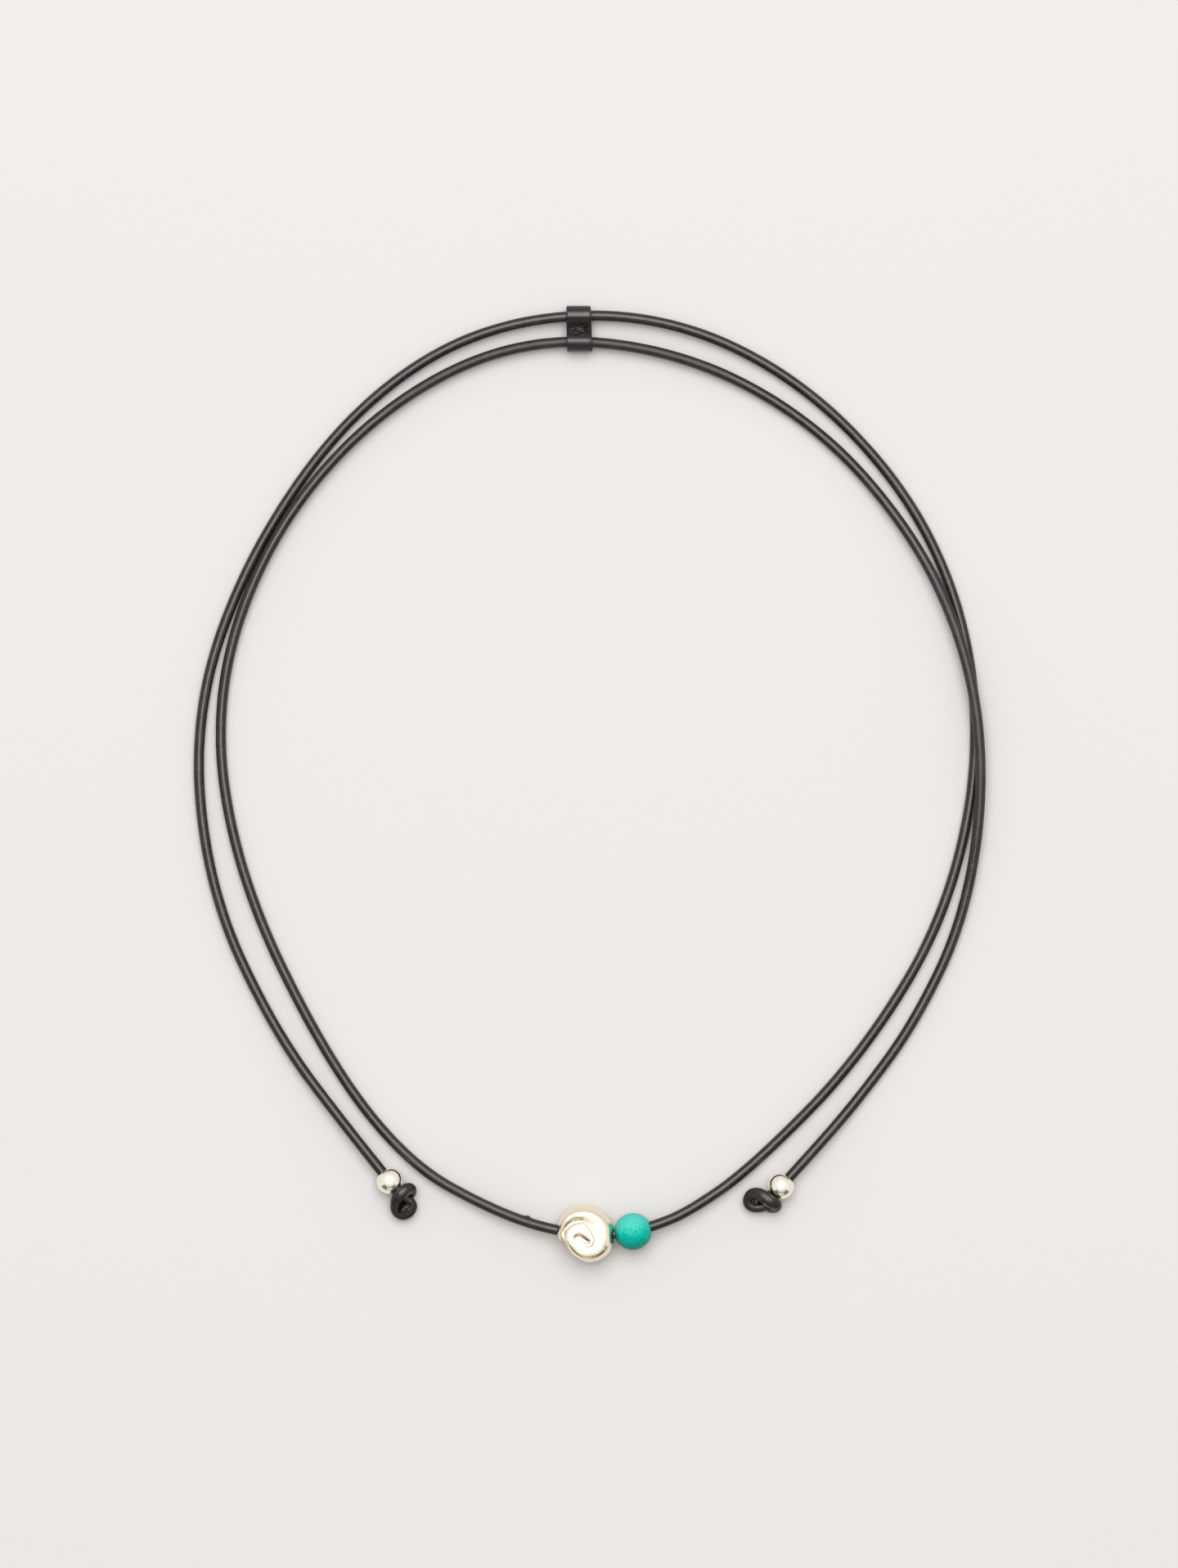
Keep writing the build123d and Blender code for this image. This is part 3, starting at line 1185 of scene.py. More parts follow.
@dataclass(frozen=True)
class Groove:
    """A groove carved into the spiral bead's upper face, which turns clockwise round the roll's middle."""

    # Where its deepest line runs, in millimetres from the bead's middle
    seam: tuple[Row, ...]
    # Share of the way along, depth, and how wide its outer and its inner slope are, in millimetres
    carving: tuple[tuple[float, float, float, float], ...]
    # How much of its inner side is a step at the seam, and how deep the crease beside it is, in millimetres
    step: float
    crease: float
    # Up to which share of the way its outer slope gets painted shade, and how strongly
    dark_until: float
    darkness: float
    resolution: int = 24
    seam_step: float = 0.05 * MM
    # How square the outer slope's shoulder is, and how wide the step is
    slope_power: float = 1.6
    step_width: float = 0.14 * MM
    # The crease's distance from the seam and its width, and over which shares of the way it runs out
    crease_place: Row = (0.52 * MM, 0.06 * MM)
    crease_end: Row = (0.8, 0.95)
    # The tarnish in the seam: its strength, its width and the depth from which it has that strength
    tarnish_and_shade: Point = (0.7, 0.13 * MM, 0.6 * MM)
    # The painted shade's distance from the seam on the outer slope, and its width
    shadow_place: Row = (0.42 * MM, 0.38 * MM)
    # How many places are measured at once
    batch: int = 4000

    def measure(self, plan: np.ndarray, seam: np.ndarray) -> Pair:
        """Finds the nearest point of the seam.

        Args:
            plan: Rows of x and y from the bead's middle.
            seam: Rows of x and y along the seam.

        Returns:
            The nearest point's index, and the distance to it.
        """
        nearest = np.empty(len(plan), int)
        distance = np.empty(len(plan))
        for start in range(0, len(plan), self.batch):
            part = slice(start, start + self.batch)
            gaps = np.linalg.norm(plan[part, None, :] - seam[None, :, :], axis=2)
            nearest[part] = gaps.argmin(1)
            distance[part] = gaps.min(1)
        return nearest, distance

    def carve(self, plan: np.ndarray) -> Pair:
        """Works out how far the groove sinks the upper face.

        Args:
            plan: Rows of x and y from the bead's middle.

        Returns:
            The sinking, and how much dirt lies there.
        """
        control = [(x * MM, y * MM, 0.0) for x, y in self.seam]
        line = Line.through("groove_line", control, self.resolution).evenly(self.seam_step)
        seam = line.places[:, :2]
        ahead = line.headings()[:, :2]
        nearest, distance = self.measure(plan, seam)
        away = plan - seam[nearest]
        inner = ahead[nearest, 0] * away[:, 1] - ahead[nearest, 1] * away[:, 0] < 0
        along = (line.travelled / line.travelled[-1])[nearest]
        shares, *columns = np.array(self.carving).T
        depth, outer_width, inner_width = (np.interp(along, shares, column) * MM for column in columns)
        outer_side = depth * np.exp(-((distance / outer_width) ** self.slope_power))
        step = self.step * bell(distance, 0.0, self.step_width)
        slope = (1 - self.step) * (1 - eased(distance / inner_width, 0.0, 1.0))
        crease = self.crease * MM * bell(distance, *self.crease_place) * (1 - eased(along, *self.crease_end))
        sink = np.where(inner, depth * (step + slope) + crease, outer_side)
        strength, width, full_depth = self.tarnish_and_shade
        tarnish_and_shade = strength * bell(distance, 0.0, width) * np.clip(depth / full_depth, 0, 1)
        # Painted shade on the outer slope, kept in the same mark as the seam's tarnish
        shadow = self.darkness * bell(distance, *self.shadow_place)
        shadow *= 1 - eased(along, self.dark_until - 0.1, self.dark_until)
        return sink, np.maximum(tarnish_and_shade, np.where(inner, 0.0, shadow))


ROLL_EDGE = Groove(
    seam=((-3.95, -1.2), (-4.0, -0.6), (-4.15, 0.25), (-3.85, 1.1), (-3.2, 1.92), (-2.35, 2.45),
          (-1.45, 2.68), (-0.65, 2.65), (0.0, 2.25), (0.65, 1.55), (1.25, 0.65), (1.7, -0.25),
          (1.9, -1.05), (1.65, -1.85), (1.05, -2.3), (0.3, -2.5), (-0.4, -2.45)),
    carving=((0.00, 0.00, 0.30, 0.35), (0.08, 0.45, 0.50, 0.60), (0.20, 0.70, 0.70, 0.85),
             (0.33, 0.78, 0.80, 0.95), (0.42, 0.60, 0.70, 0.90), (0.48, 0.42, 1.10, 0.80),
             (0.58, 0.36, 2.00, 0.80), (0.74, 0.33, 2.00, 0.80), (0.83, 0.24, 1.50, 0.75),
             (0.93, 0.10, 0.90, 0.60), (1.00, 0.00, 0.60, 0.50)),
    step=0.28, crease=0.02, dark_until=0.32, darkness=1.0)
ROLL_END = Groove(
    seam=((-2.0, -1.0), (-2.0, -0.62), (-1.6, -0.35), (-1.05, -0.47), (-0.45, -0.83), (0.15, -1.2),
          (0.65, -1.5), (1.1, -1.7)),
    carving=((0.00, 0.05, 0.25, 0.25), (0.12, 0.35, 0.36, 0.35), (0.30, 0.46, 0.50, 0.60),
             (0.60, 0.46, 0.52, 0.75), (0.82, 0.38, 0.48, 0.60), (0.94, 0.16, 0.40, 0.40),
             (1.00, 0.00, 0.35, 0.30)),
    step=0.0, crease=0.0, dark_until=2.0, darkness=0.12)


@dataclass
class SpiralBead:
    """The puffed silver bead, rolled up like a snail and drilled across."""

    name: str = "silver_spiral_bead"
    node: str = "spiral_bead"
    centre: Point = (0.05 * MM, -85.75 * MM, 3.5 * MM)
    ahead: Row = (-0.998, 0.063)
    half_thick: float = 3.5 * MM
    bore_radius: float = 1.35 * MM
    # How square the bead's shoulder is, by degrees from the right
    fullness: tuple[Row, ...] = (
        (0.0, 6.5), (60.0, 7.0), (180.0, 7.5), (215.0, 10.0),
        (260.0, 10.0), (290.0, 7.0), (325.0, 5.5), (360.0, 6.5))
    # What spaces the rings: the mean shoulder, and the mean radius and half thickness in millimetres
    mean_fullness: float = 7.0
    mean_size: Row = (5.4, 3.5)
    segments: int = 360
    rings: int = 220
    upper_share: float = 0.7
    # The hand-polished face's waves: their spacing and height
    waves: tuple[Row, ...] = ((1.5 * MM, 0.022 * MM), (0.55 * MM, 0.003 * MM))
    # The patch of painted shade and reflection round the bore's right mouth: half its width and height, its
    # edge and its lumps
    mouth_shade: Row = (1.6 * MM, 2.65 * MM)
    mouth_shade_edge: Row = (0.95, 0.98)
    mouth_shade_lumps: Row = (0.4 * MM, 0.06)
    # Degrees over which the outline is evened out inside the rim, and over which shares it returns
    evened: tuple[float, ...] = (-24.0, -12.0, 0.0, 12.0, 24.0)
    evened_until: Row = (0.7, 1.0)
    # Degrees from the right and the distance to the rim, in millimetres
    outline: tuple[Row, ...] = (
        (0.0, 5.32), (16.4, 5.42), (37.4, 5.31), (64.7, 5.27), (91.9, 5.43), (118.1, 5.70),
        (136.8, 5.77), (159.3, 5.60), (181.8, 5.47), (193.0, 5.08), (198.6, 4.70), (202.5, 4.32),
        (215.0, 4.37), (234.4, 4.62), (254.2, 4.93), (275.6, 5.45), (288.8, 5.59), (308.7, 5.72),
        (326.4, 5.78), (340.7, 5.62),
    )
    grooves: tuple[Groove, ...] = (ROLL_EDGE, ROLL_END)
    # Over which shares of the way to the rim the carving runs out, and by how much
    carving_end: Row = (0.86, 1.0)
    carving_loss: float = 0.75
    # The roll's torn start: its place and size in millimetres, its lumps' size and height, and its dirt
    tear: Row = (-4.4, -0.75)
    tear_size: float = 0.5
    tear_lumps: Row = (0.36 * MM, 0.08 * MM)
    tear_dirt: float = 0.75

    def radius_at(self, angle: np.ndarray) -> np.ndarray:
        """Works out the distance from the middle to the rim.

        Args:
            angle: Degrees from the right, from 0 to 360.

        Returns:
            The distance at each angle.
        """
        degrees, reach = np.array(self.outline).T
        degrees = np.concatenate([degrees - 360, degrees, degrees + 360])
        reach = np.tile(reach, 3)
        slope = np.gradient(reach, degrees)
        index = np.clip(np.searchsorted(degrees, angle, side="right") - 1, 0, len(degrees) - 2)
        width = degrees[index + 1] - degrees[index]
        share = (angle - degrees[index]) / width
        start, end = reach[index], reach[index + 1]
        rise, fall = slope[index] * width, slope[index + 1] * width
        return ((2 * share**3 - 3 * share**2 + 1) * start + (share**3 - 2 * share**2 + share) * rise
                + (3 * share**2 - 2 * share**3) * end + (share**3 - share**2) * fall) * MM

    def spaced(self, polar: np.ndarray) -> Pair:
        """Spaces the sphere's rings evenly over the faces, more closely on the upper one.

        Args:
            polar: The angle from the top at each vertex of the sphere, in radians.

        Returns:
            The share of the way from the middle to the rim, and whether the vertex is on the upper face.
        """
        shares = np.linspace(0, 1, 2001)
        profile = (1 - shares**self.mean_fullness) ** 0.5
        run = travelled(np.column_stack([shares, profile]) * self.mean_size)
        turn = polar / math.pi
        upper = turn <= self.upper_share + 1e-6
        gone = np.where(upper, turn / self.upper_share, (1 - turn) / (1 - self.upper_share)) * run[-1]
        return np.interp(gone, run, shares), upper

    def puffed(self, sphere: np.ndarray) -> tuple[np.ndarray, np.ndarray, np.ndarray]:
        """Shapes the sphere into the bead's full, flat form.

        Args:
            sphere: The vertices of a sphere of radius 1.

        Returns:
            The vertices' places, their share of the way to the rim, and whether they are on the upper face.
        """
        share, upper = self.spaced(np.arccos(np.clip(sphere[:, 2], -1, 1)))
        angle = np.degrees(np.arctan2(sphere[:, 1], sphere[:, 0])) % 360
        shoulder = np.interp(angle, *np.array(self.fullness).T)
        height = (1 - share**shoulder) ** 0.5 * self.half_thick
        even_rim = np.mean([self.radius_at((angle + shift) % 360) for shift in self.evened], axis=0)
        reach = share * (even_rim + (self.radius_at(angle) - even_rim) * eased(share, *self.evened_until))
        shaped = np.column_stack([
            np.cos(np.radians(angle)) * reach,
            np.sin(np.radians(angle)) * reach,
            np.where(upper, height, -height),
        ])
        return shaped, share, upper

    def carved(self, shaped: np.ndarray, share: np.ndarray) -> Pair:
        """Works out the carving of the upper face.

        Args:
            shaped: The bead's vertices.
            share: Their share of the way to the rim.

        Returns:
            How far the face sinks, and how much tarnish and painted shade lie there.
        """
        sinks, tarnish_and_shade_parts = zip(*(groove.carve(shaped[:, :2]) for groove in self.grooves))
        torn = bell(np.linalg.norm(shaped[:, :2] / MM - np.array(self.tear), axis=1), 0.0, self.tear_size)
        size, height = self.tear_lumps
        sink = sum(sinks) + lumps(shaped, size, 9.0) * height * torn
        for spacing, depth in self.waves:
            sink += lumps(shaped, spacing, 21.0) * depth
        sink *= 1 - eased(share, *self.carving_end) * self.carving_loss
        return sink, np.maximum(np.maximum(*tarnish_and_shade_parts), self.tear_dirt * torn)

    def mouth_shading(self, shaped: np.ndarray) -> np.ndarray:
        """Works out the painted shade and reflection round the bore's right mouth.

        Args:
            shaped: The bead's vertices.

        Returns:
            How much painted shade each vertex has, from 0 to 1.
        """
        ahead = Vector((*self.ahead, 0.0)).normalized()
        across = shaped[:, 0] * ahead.y - shaped[:, 1] * ahead.x
        mouth = np.hypot(across / self.mouth_shade[0], shaped[:, 2] / self.mouth_shade[1])
        size, depth = self.mouth_shade_lumps
        mouth += depth * lumps(shaped, size, 15.0)
        return np.where(shaped[:, 0] > 0, 1 - eased(mouth, *self.mouth_shade_edge), 0.0)

    def drill(self, bead: Piece) -> None:
        """Drills the bead for the cord.

        Args:
            bead: The bead, with its middle at the origin.
        """
        bpy.ops.mesh.primitive_cylinder_add(vertices=64, radius=self.bore_radius, depth=20 * MM)
        drill = bpy.context.object
        drill.data.transform(facing(self.ahead))
        Bench.apply(bead, "BOOLEAN", object=drill, operation="DIFFERENCE", solver="EXACT")
        bpy.data.objects.remove(drill)

    def build(self, finish: SilverFinish) -> Piece:
        """Shapes the bead from a sphere, carves its grooves, drills it and dresses it.

        Args:
            finish: The silver.

        Returns:
            The finished piece.
        """
        Bench.clear()
        bpy.ops.mesh.primitive_uv_sphere_add(segments=self.segments, ring_count=self.rings, radius=1.0)
        bead = Bench.named(self.name)
        shaped, share, upper = self.puffed(Bench.places(bead))
        sink, tarnish_and_shade = self.carved(shaped, share)
        shaped[:, 2] -= np.where(upper, sink, 0.0)
        Bench.move(bead, shaped)
        # One mark holds the seams' tarnish and the outer slopes' painted shade; the black mark is painted
        # shade and reflection at the bore's right mouth
        Bench.mark(bead.data, "tarnish_and_shade", np.where(upper, tarnish_and_shade, 0.0))
        Bench.mark(bead.data, "black", self.mouth_shading(shaped))
        self.drill(bead)
        Bench.settle(bead, Matrix.Translation(self.centre), weld=1e-8)
        Bench.take(bead)
        bpy.ops.object.shade_smooth_by_angle(angle=math.radians(60))
        Bench.register(bead, self.node, Slot.SILVER, finish.material())
        return bead


@dataclass
class Slider:
    """The leather strip wrapped round both strands and pinched between them."""

    name: str = "leather_slider"
    node: str = "slider"
    middle: Row = (-1.2 * MM, 86.7 * MM)
    # How far the strands lie from the middle and above the floor, and how far the sides bulge past them
    strand_offset: float = 2.41 * MM
    strand_height: float = 2.15 * MM
    side_radius: float = 2.0 * MM
    wall: float = 0.92 * MM
    # The upper side's height at the pinch, and how much of the way there the fall towards it takes
    web_top: float = 2.5 * MM
    web_share: float = 0.81
    length: float = 4.8 * MM
    flare: float = 0.008
    skew: float = 0.027
    # The outer edges' roundness above and below the middle, and how far out each is reached
    edge_rounds: Row = (0.32 * MM, 0.18 * MM)
    edge_round_span: Row = (-3.0 * MM, 3.0 * MM)
    # Between which heights the upper side starts
    upper_from: Row = (2.0 * MM, 2.4 * MM)
    # The pinch's place across and its width
    pinch: Row = (-0.2 * MM, 1.1 * MM)
    # How far the pinch's line wanders, its waves' spacing, weight and seed, and their rate across
    crease_wander: float = 0.3 * MM
    wander_waves: tuple[Point, ...] = ((1.1 * MM, 1.0, 6.0), (0.45 * MM, 0.7, 12.0))
    wander_across: float = 0.6
    # The puckers that run out from a point on the middle line: their number, height, and where they end
    rays: int = 9
    ray_height: float = 0.06 * MM
    ray_start: float = 0.4 * MM
    # The rays' bends: their size, their reach in radians and their seed
    ray_bends: Point = (0.7 * MM, 3.0, 11.0)
    ray_end: Row = (-0.6 * MM, 0.2 * MM)
    # The lump and the pit beside it, in millimetres: x, y, width along, width across and height
    dents: tuple[tuple[float, float, float, float, float], ...] = (
        (0.3, 0.0, 0.55, 0.34, 0.13), (1.25, 0.05, 0.28, 0.24, -0.24))
    # The fold at the right, in millimetres: x, how far it bows over which distance across, width and height
    fold: tuple[float, float, float, float, float] = (1.78, 0.14, 0.9, 0.11, 0.08)
    # The grain's waves: their spacing, height and seed; and how much of them there is outside the pinch
    grain_waves: tuple[Point, ...] = ((0.42 * MM, 0.06 * MM, 4.0), (0.22 * MM, 0.04 * MM, 8.0))
    grain_rest: float = 0.2
    # The low ledge at the right: its depth, from where it starts along, and from and to where it runs across
    ledge: float = 0.2 * MM
    ledge_from: Row = (1.98 * MM, 2.08 * MM)
    ledge_across: tuple[Row, Row] = ((-4.2 * MM, -3.9 * MM), (1.7 * MM, 2.1 * MM))
    # How many points draw the outline's base, top and each side, and how many faces the strip has each way
    base_points: int = 40
    top_points: int = 120
    side_points: int = 60
    along_count: int = 100
    round_count: int = 330
    finish: LeatherFinish = field(default_factory=lambda: LeatherFinish(
        "slider_leather", follows_piece=False, black=(0.0038, 0.0027, 0.0019), brown=(0.0080, 0.0057, 0.0041),
        grain=0.2 * MM, grain_depth=0.032 * MM, pit_depth=0.0, crease=0.45 * MM, crease_depth=0.014 * MM,
        polish=(0.19, 0.27), worn_matt=0.16, shine=0.5))

    def section(self) -> np.ndarray:
        """Draws the strip's outer outline round both strands.

        Returns:
            Rows of y and z, evenly spaced.
        """
        offset, middle, radius = self.strand_offset, self.strand_height, self.side_radius
        half_turn = np.linspace(0, math.pi, self.side_points)
        points = [(y, 0.0) for y in np.linspace(-offset, offset, self.base_points)]
        points += [(offset + radius * math.sin(a), middle * (1 - math.cos(a))) for a in half_turn[1:]]
        for y in np.linspace(offset, -offset, self.top_points)[1:-1]:
            share = self.web_share * (1 - abs(y) / offset)
            lift = 0.5 + 0.5 * math.cos(math.pi * share)
            points.append((y, self.web_top + (2 * middle - self.web_top) * lift))
        points += [(-offset - radius * math.sin(a), middle * (1 + math.cos(a))) for a in half_turn]
        outline = np.array(points)
        run = travelled(outline)
        marks = np.linspace(0, run[-1], self.round_count + 1)
        return np.column_stack([np.interp(marks, run, outline[:, 0]), np.interp(marks, run, outline[:, 1])])

    def outward(self, places: np.ndarray) -> np.ndarray:
        """Works out the section's outward direction at the nearest point of its outline.

        Args:
            places: Rows of y and z on the strip.

        Returns:
            Rows of y and z.
        """
        outline = self.section()
        along = np.gradient(outline, axis=0)
        normals = np.column_stack([along[:, 1], -along[:, 0]])
        normals /= np.linalg.norm(normals, axis=1, keepdims=True)
        nearest = np.linalg.norm(places[:, None, :] - outline[None, :, :], axis=2).argmin(1)
        return normals[nearest]

    def pinched(self, y: np.ndarray) -> np.ndarray:
        """Returns how strongly the strip is crumpled, from 0 to 1, at a distance across from its middle."""
        place, width = self.pinch
        return np.exp(-((np.abs(y - place) / width) ** 4))

    def crumple(self, x: np.ndarray, y: np.ndarray) -> np.ndarray:
        """Works out how the pinch puckers the upper side.

        Args:
            x: Distance along the strands from the slider's middle.
            y: Distance across from its middle.

        Returns:
            The height added to the surface.
        """
        flat = np.column_stack([x, y, x * 0])
        near = self.pinched(y)
        size, bend, seed = self.ray_bends
        turn = np.arctan2(y, x - self.ray_start) * self.rays + lumps(flat, size, seed) * bend
        relief = np.sin(turn) * self.ray_height * (1 - eased(x, *self.ray_end))
        for place, side, length, width, height in self.dents:
            relief += height * MM * bell(x / MM, place, length) * bell(y / MM, side, width)
        place, bow, reach, width, height = self.fold
        relief += height * MM * bell(x / MM + bow * (y / MM / reach) ** 2, place, width)
        grain = sum(lumps(flat, spacing, seed) * depth for spacing, depth, seed in self.grain_waves)
        ledge = self.ledge * eased(x, *self.ledge_from) * within(y, *self.ledge_across)
        return relief * near + grain * (self.grain_rest + near) - ledge

    def roll(self) -> Piece:
        """Rolls a flat strip round the strands and puckers it.

        Returns:
            The strip's outer side, with the slider's middle at the origin.
        """
        Bench.clear()
        bpy.ops.mesh.primitive_grid_add(
            x_subdivisions=self.along_count, y_subdivisions=self.round_count, size=1.0)
        strip = Bench.named(self.name)
        flat = Bench.places(strip)
        turn = (flat[:, 1] + 0.5) * self.round_count
        y, z = (np.interp(turn, np.arange(self.round_count + 1), column) for column in self.section().T)
        x = flat[:, 0] * self.length * (1 - self.flare * y / self.strand_offset)
        upper = eased(z, *self.upper_from)
        worn = self.pinched(y) * upper
        across = np.column_stack([x, y * self.wander_across, x * 0])
        wander = sum(weight * lumps(across, spacing, seed) for spacing, weight, seed in self.wander_waves)
        wander *= self.crease_wander * worn
        Bench.move(strip, np.column_stack([x, y + wander, z + self.crumple(x, y) * upper]))
        Bench.mark(strip.data, "worn", worn)
        Bench.settle(strip, Matrix.Identity(4), weld=1e-6)
        return strip

    def thicken(self, strip: Piece) -> None:
        """Gives the strip its wall, rounds its outer edges and sets its ends aslant.

        Args:
            strip: The strip's outer side.
        """
        outer = len(strip.data.vertices)
        outward = self.outward(Bench.places(strip)[:, 1:])
        Bench.apply(strip, "SOLIDIFY", thickness=self.wall, offset=-1.0, use_even_offset=False)
        places = Bench.places(strip)
        rounding = np.interp(places[:outer, 1], self.edge_round_span, self.edge_rounds[::-1])
        half = self.length / 2 * (1 - self.flare * places[:, 1] / self.strand_offset)
        over = np.clip((np.abs(places[:outer, 0]) - half[:outer] + rounding) / rounding, 0, 1)
        places[:outer, 1:] -= outward * (rounding * (1 - np.sqrt(1 - over**2)))[:, None]
        places[:, 0] = np.clip(places[:, 0], -half, half) - self.skew * places[:, 1]
        Bench.move(strip, places)

    def build(self) -> Piece:
        """Rolls the strip, gives it its wall and dresses it.

        Returns:
            The finished piece.
        """
        strip = self.roll()
        self.thicken(strip)
        Bench.settle(strip, Matrix.Translation((*self.middle, 0.0)), weld=1e-8)
        Bench.register(strip, self.node, Slot.SLIDER, self.finish.material())
        return strip


@dataclass
class Studio:
    """The pale floor, the soft light and the camera straight above."""

    frame_height: float = 299.5 * MM
    camera_height: float = 1.2
    camera_place: Row = (0.69 * MM, -0.08 * MM)
    sensor: float = 36.0
    floor_size: float = 6.0
    floor_drop: float = 0.03 * MM
    paper: Colour = (0.462, 0.450, 0.450)
    # How much darker the paper's fibres are, and their size
    fibre_tone: float = 0.985
    fibre: float = 1.3 * MM
    # The floor's own glow where the softbox no longer reaches: from where to where, its strength and colour
    fill_range: Row = (0.25, 2.3)
    fill: float = 0.42
    fill_colour: Colour = (1.0, 0.975, 0.955)
    box_radius: float = 0.85
    box_distance: float = 1.7
    # Degrees by which the softbox is tipped towards the top of the picture
    box_tilt: float = 17.0
    box_power: float = 37.0
    box_colour: Colour = (1.0, 0.985, 0.96)
    # The room's light: the halo round the softbox, the sky high up and low down, the dark front of the room
    # and the pale patch in it
    glow: Colour = (1.15, 1.14, 1.12)
    sky: Colour = (0.90, 0.89, 0.87)
    low_sky: Colour = (0.77, 0.72, 0.64)
    shade: Colour = (0.17, 0.16, 0.15)
    lobe: Colour = (0.74, 0.69, 0.60)
    # Where each begins and ends: closeness to the softbox, height, and how far towards the front or the sides
    glow_range: Row = (0.70, 0.88)
    sky_range: Row = (0.0, 0.35)
    shade_front: Row = (-0.66, -0.40)
    shade_foot: Row = (-0.02, 0.05)
    shade_head: Row = (0.48, 0.86)
    lobe_foot: Row = (0.06, 0.14)
    lobe_head: Row = (0.46, 0.58)
    lobe_sides: Row = (0.16, 0.48)

    def towards_box(self) -> Vector:
        """Returns the direction of the softbox."""
        tilt = math.radians(self.box_tilt)
        return Vector((0.0, math.sin(tilt), math.cos(tilt)))

    def floor(self) -> None:
        """Lays the pale sheet that everything rests on."""
        Bench.clear()
        bpy.ops.mesh.primitive_plane_add(size=self.floor_size, location=(0.0, 0.0, 0.0))
        sheet = Bench.named("floor")
        sheet.data.transform(Matrix.Translation((0.0, 0.0, -self.floor_drop)))
        material, nodes = NodeBench.start("pale_paper")
        where = nodes.place()
        darker = tuple(value * self.fibre_tone for value in self.paper)
        away = nodes.add("VectorMath", {0: where}, operation="LENGTH").outputs["Value"]
        nodes.surface({
            "Base Color": nodes.blend(nodes.noise(where, self.fibre), self.paper, darker),
            "Roughness": 0.9,
            "Specular IOR Level": 0.1,
            "Emission Color": self.fill_colour,
            "Emission Strength": nodes.spread(away, self.fill_range, 0.0, self.fill),
        })
        sheet.data.materials.append(material)
        Bench.clear()

    def softbox(self) -> None:
        """Hangs the large round light above, tipped a little from the top of the picture."""
        light = bpy.data.lights.new("softbox", "AREA")
        light.shape = "DISK"
        light.size = self.box_radius * 2
        light.energy = self.box_power
        light.color = self.box_colour
        holder = bpy.data.objects.new("softbox", light)
        holder.location = self.towards_box() * self.box_distance
        holder.rotation_euler = (-math.radians(self.box_tilt), 0.0, 0.0)
        holder.visible_camera = False
        bpy.context.collection.objects.link(holder)

    def surroundings(self) -> None:
        """Sets the room's light by direction: bright all round, and dark at the front."""
        world = bpy.data.worlds.new("studio_room")
        bpy.context.scene.world = world
        world.use_nodes = True
        nodes = NodeBench(world.node_tree)
        ways = nodes.add("TexCoord").outputs["Generated"]
        x, y, z = nodes.add("SeparateXYZ", {0: ways}).outputs
        level = nodes.reckon("SQRT", nodes.reckon("SUBTRACT", 1.0001, nodes.times(z, z)))
        front = nodes.spread(nodes.reckon("DIVIDE", y, level), self.shade_front, 1.0, 0.0)
        dark = nodes.times(nodes.between(z, self.shade_foot, self.shade_head), front)
        sides = nodes.spread(nodes.reckon("ABSOLUTE", x), self.lobe_sides, 1.0, 0.0)
        lobe = nodes.times(nodes.between(z, self.lobe_foot, self.lobe_head), sides)
        near_box = nodes.spread(nodes.along(ways, self.towards_box()), self.glow_range)
        colour = nodes.blend(nodes.spread(z, self.sky_range), self.low_sky, self.sky)
        colour = nodes.blend(near_box, colour, self.glow)
        colour = nodes.blend(dark, colour, self.shade)
        colour = nodes.blend(nodes.times(lobe, dark), colour, self.lobe)
        shell = nodes.add("Background", {"Color": colour, "Strength": 1.0})
        nodes.add("OutputWorld", {"Surface": shell.outputs[0]})

    def camera(self) -> None:
        """Sets the camera straight above, as the picture was taken."""
        data = bpy.data.cameras.new("camera")
        data.sensor_width = self.sensor
        data.lens = self.sensor * self.camera_height / self.frame_height
        data.clip_end = 20.0
        holder = bpy.data.objects.new("camera", data)
        holder.location = (*self.camera_place, self.camera_height)
        bpy.context.collection.objects.link(holder)
        bpy.context.scene.camera = holder

    def build(self) -> None:
        """Sets up the floor, the lights and the camera."""
        self.floor()
        self.softbox()
        self.surroundings()
        self.camera()
        bpy.context.scene.view_settings.view_transform = "Standard"


LEFT_KNOT_PATH: tuple[Point, ...] = (
    (0.0, 0.0, 2.5), (1.2, 0.0, 2.3), (2.5, 0.3, 1.9), (3.7, 0.6, 1.7), (4.6, 0.2, 1.6),
    (5.0, -0.9, 1.6), (4.8, -2.1, 1.6), (3.9, -2.7, 1.7), (2.9, -2.6, 2.1), (2.1, -2.0, 2.8),
    (1.4, -1.0, 3.7), (1.1, 0.1, 4.1), (1.05, 1.2, 3.9), (1.3, 2.2, 3.3), (2.1, 2.1, 2.0),
    (2.5, 1.3, 1.1), (2.7, 0.1, 1.0), (3.0, -0.9, 1.3), (3.75, -1.0, 2.6), (4.3, -0.95, 3.85),
)
RIGHT_KNOT_PATH: tuple[Point, ...] = (
    (0.0, 0.0, 2.5), (1.2, 0.1, 2.3), (2.3, 0.4, 1.9), (3.2, 0.2, 1.7), (4.0, -0.5, 1.6),
    (4.7, -1.4, 1.6), (4.6, -2.6, 1.7), (3.65, -3.2, 2.0), (2.6, -3.1, 2.6), (1.9, -2.4, 3.3),
    (1.55, -1.15, 3.9), (1.4, 0.05, 4.1), (1.15, 1.0, 3.9), (1.2, 1.85, 3.2), (1.95, 1.95, 1.9),
    (2.5, 1.2, 1.1), (2.7, 0.1, 1.0), (3.0, -1.0, 1.1), (3.45, -1.65, 1.8), (3.7, -1.9, 2.35),
)
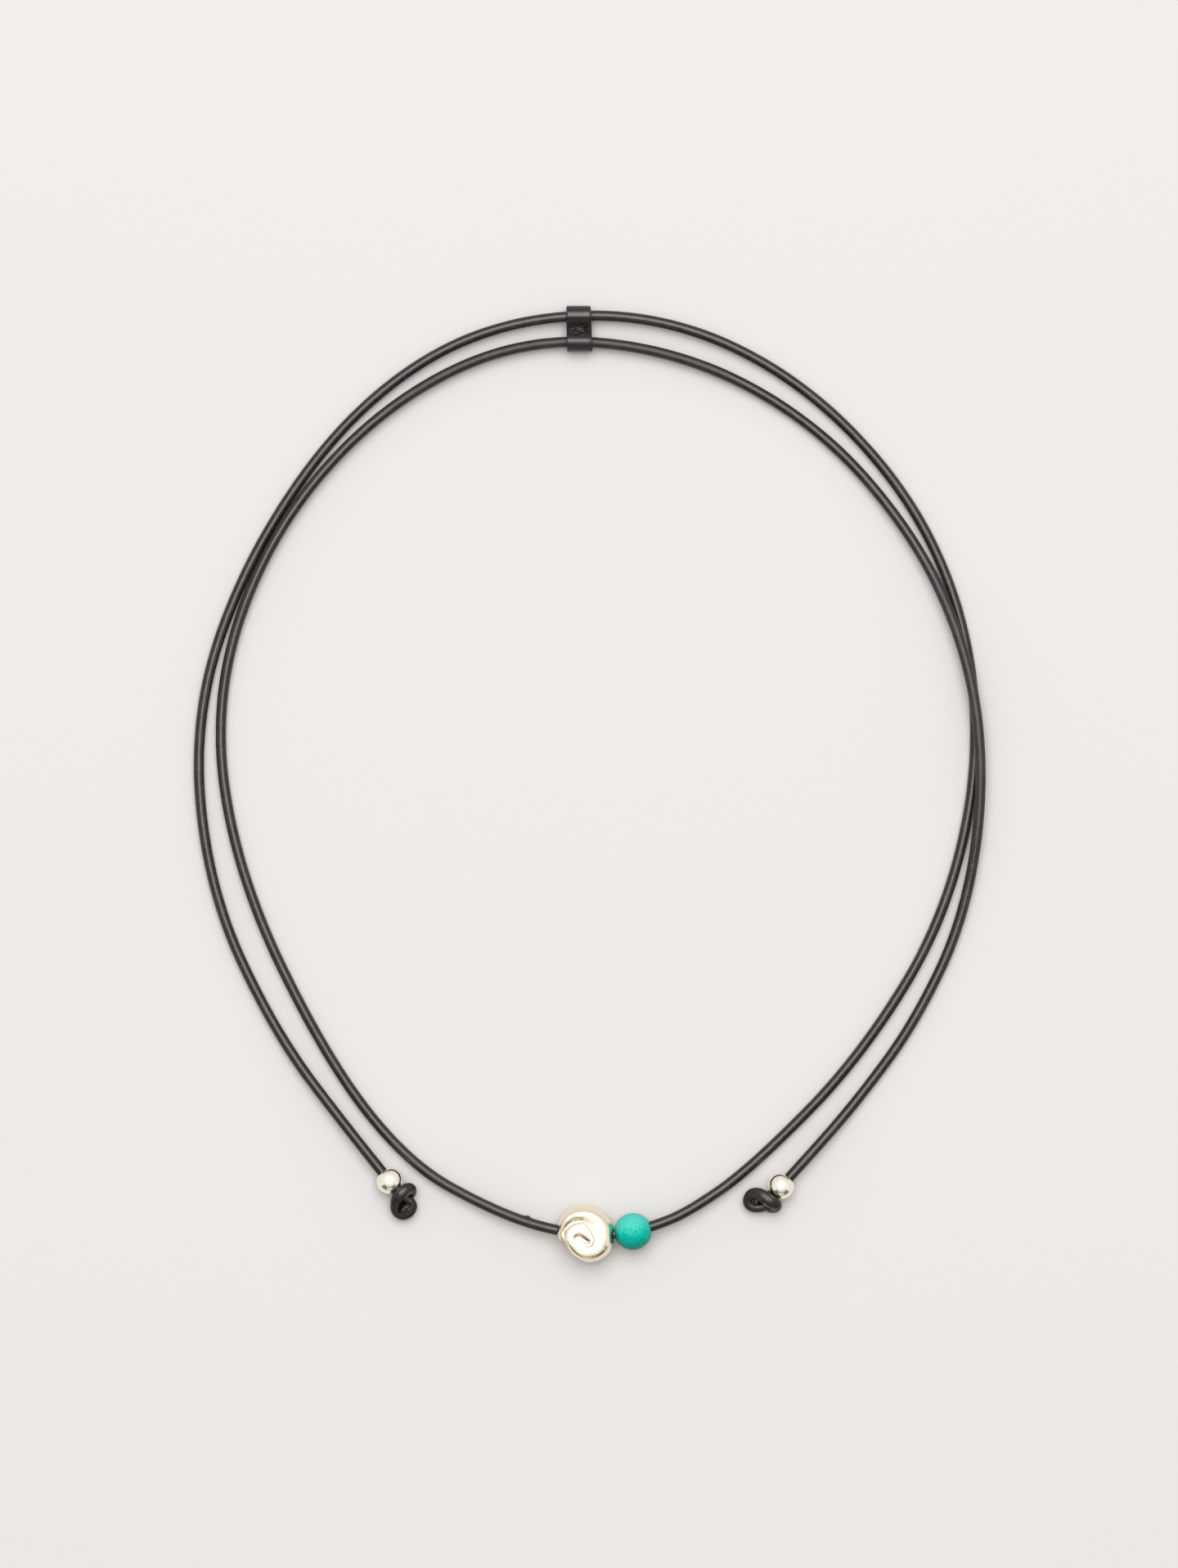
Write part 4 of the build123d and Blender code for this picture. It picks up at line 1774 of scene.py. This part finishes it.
LEFT_KNOT_WIDTHS: tuple[Row, ...] = (
    (0.0, 2.5), (0.04, 2.3), (0.08, 1.9), (0.35, 1.9), (0.45, 2.1), (0.52, 2.35), (0.62, 2.35), (0.7, 2.1),
    (0.78, 1.8), (0.92, 1.9), (1.0, 2.6))
RIGHT_KNOT_WIDTHS: tuple[Row, ...] = (
    (0.0, 2.5), (0.04, 2.3), (0.08, 1.9), (0.35, 1.9), (0.45, 2.2), (0.52, 2.5), (0.62, 2.5), (0.7, 2.2),
    (0.78, 1.8), (0.92, 1.8), (1.0, 2.0))


def end_balls() -> tuple[BallBead, BallBead]:
    """Lays out the two ball beads, each in line with the cord's last two points.

    Returns:
        The left and the right ball.
    """
    left = BallBead("left_silver_ball", "left_ball_bead", (-37.33 * MM, -75.77 * MM, BALL),
                    (ROUTE[0][0] - ROUTE[1][0], ROUTE[0][1] - ROUTE[1][1]))
    right = BallBead("right_silver_ball", "right_ball_bead", (37.32 * MM, -76.76 * MM, BALL),
                     (ROUTE[-1][0] - ROUTE[-2][0], ROUTE[-1][1] - ROUTE[-2][1]))
    return left, right


def end_knots() -> tuple[EndKnot, EndKnot]:
    """Lays out the two knots, of the same leather.

    Returns:
        The left and the right knot.
    """
    leather = LeatherFinish("knot_leather", grain=0.2 * MM, grain_depth=0.02 * MM, polish=(0.24, 0.35),
                            worn_matt=-0.03, shine=0.4)
    # Near-black leather, painted shade for the knots' hollows
    shaded = LeatherFinish("painted_shade_leather", black=(0.002, 0.0018, 0.0016), brown=(0.004, 0.003, 0.002),
                           shine=0.06)
    left = EndKnot(
        "left_end_knot", "left_knot", end=ROUTE[0], before=ROUTE[1], path=LEFT_KNOT_PATH,
        widths=LEFT_KNOT_WIDTHS, finish=leather, painted_shade_spot=(3.15, -1.0, 0.75, 3.3), painted_shade_finish=shaded,
        raw_span=(0.1, 2.2))
    right = EndKnot(
        "right_end_knot", "right_knot", end=ROUTE[-1], before=ROUTE[-2], path=RIGHT_KNOT_PATH,
        widths=RIGHT_KNOT_WIDTHS, finish=leather, painted_shade_spot=(2.7, -0.8, 0.55, 2.1), painted_shade_finish=shaded,
        raw_span=(-0.5, 2.0))
    return left, right


def main() -> None:
    """Builds and dresses each piece of the necklace, then sets up the studio."""
    logging.basicConfig(level=logging.INFO, format="%(name)s: %(message)s")
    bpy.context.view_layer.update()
    cord = Cord()
    cord.build()
    Slider().build()
    SpiralBead().build(SilverFinish("spiral_silver", metal=(0.93, 0.825, 0.65), polish=(0.09, 0.15)))
    StoneBead().build(StoneFinish())
    for ball in end_balls():
        ball.build(SilverFinish())
    cord.declare([knot.build() for knot in end_knots()])
    Studio().build()


if __name__ == "__main__":
    main()
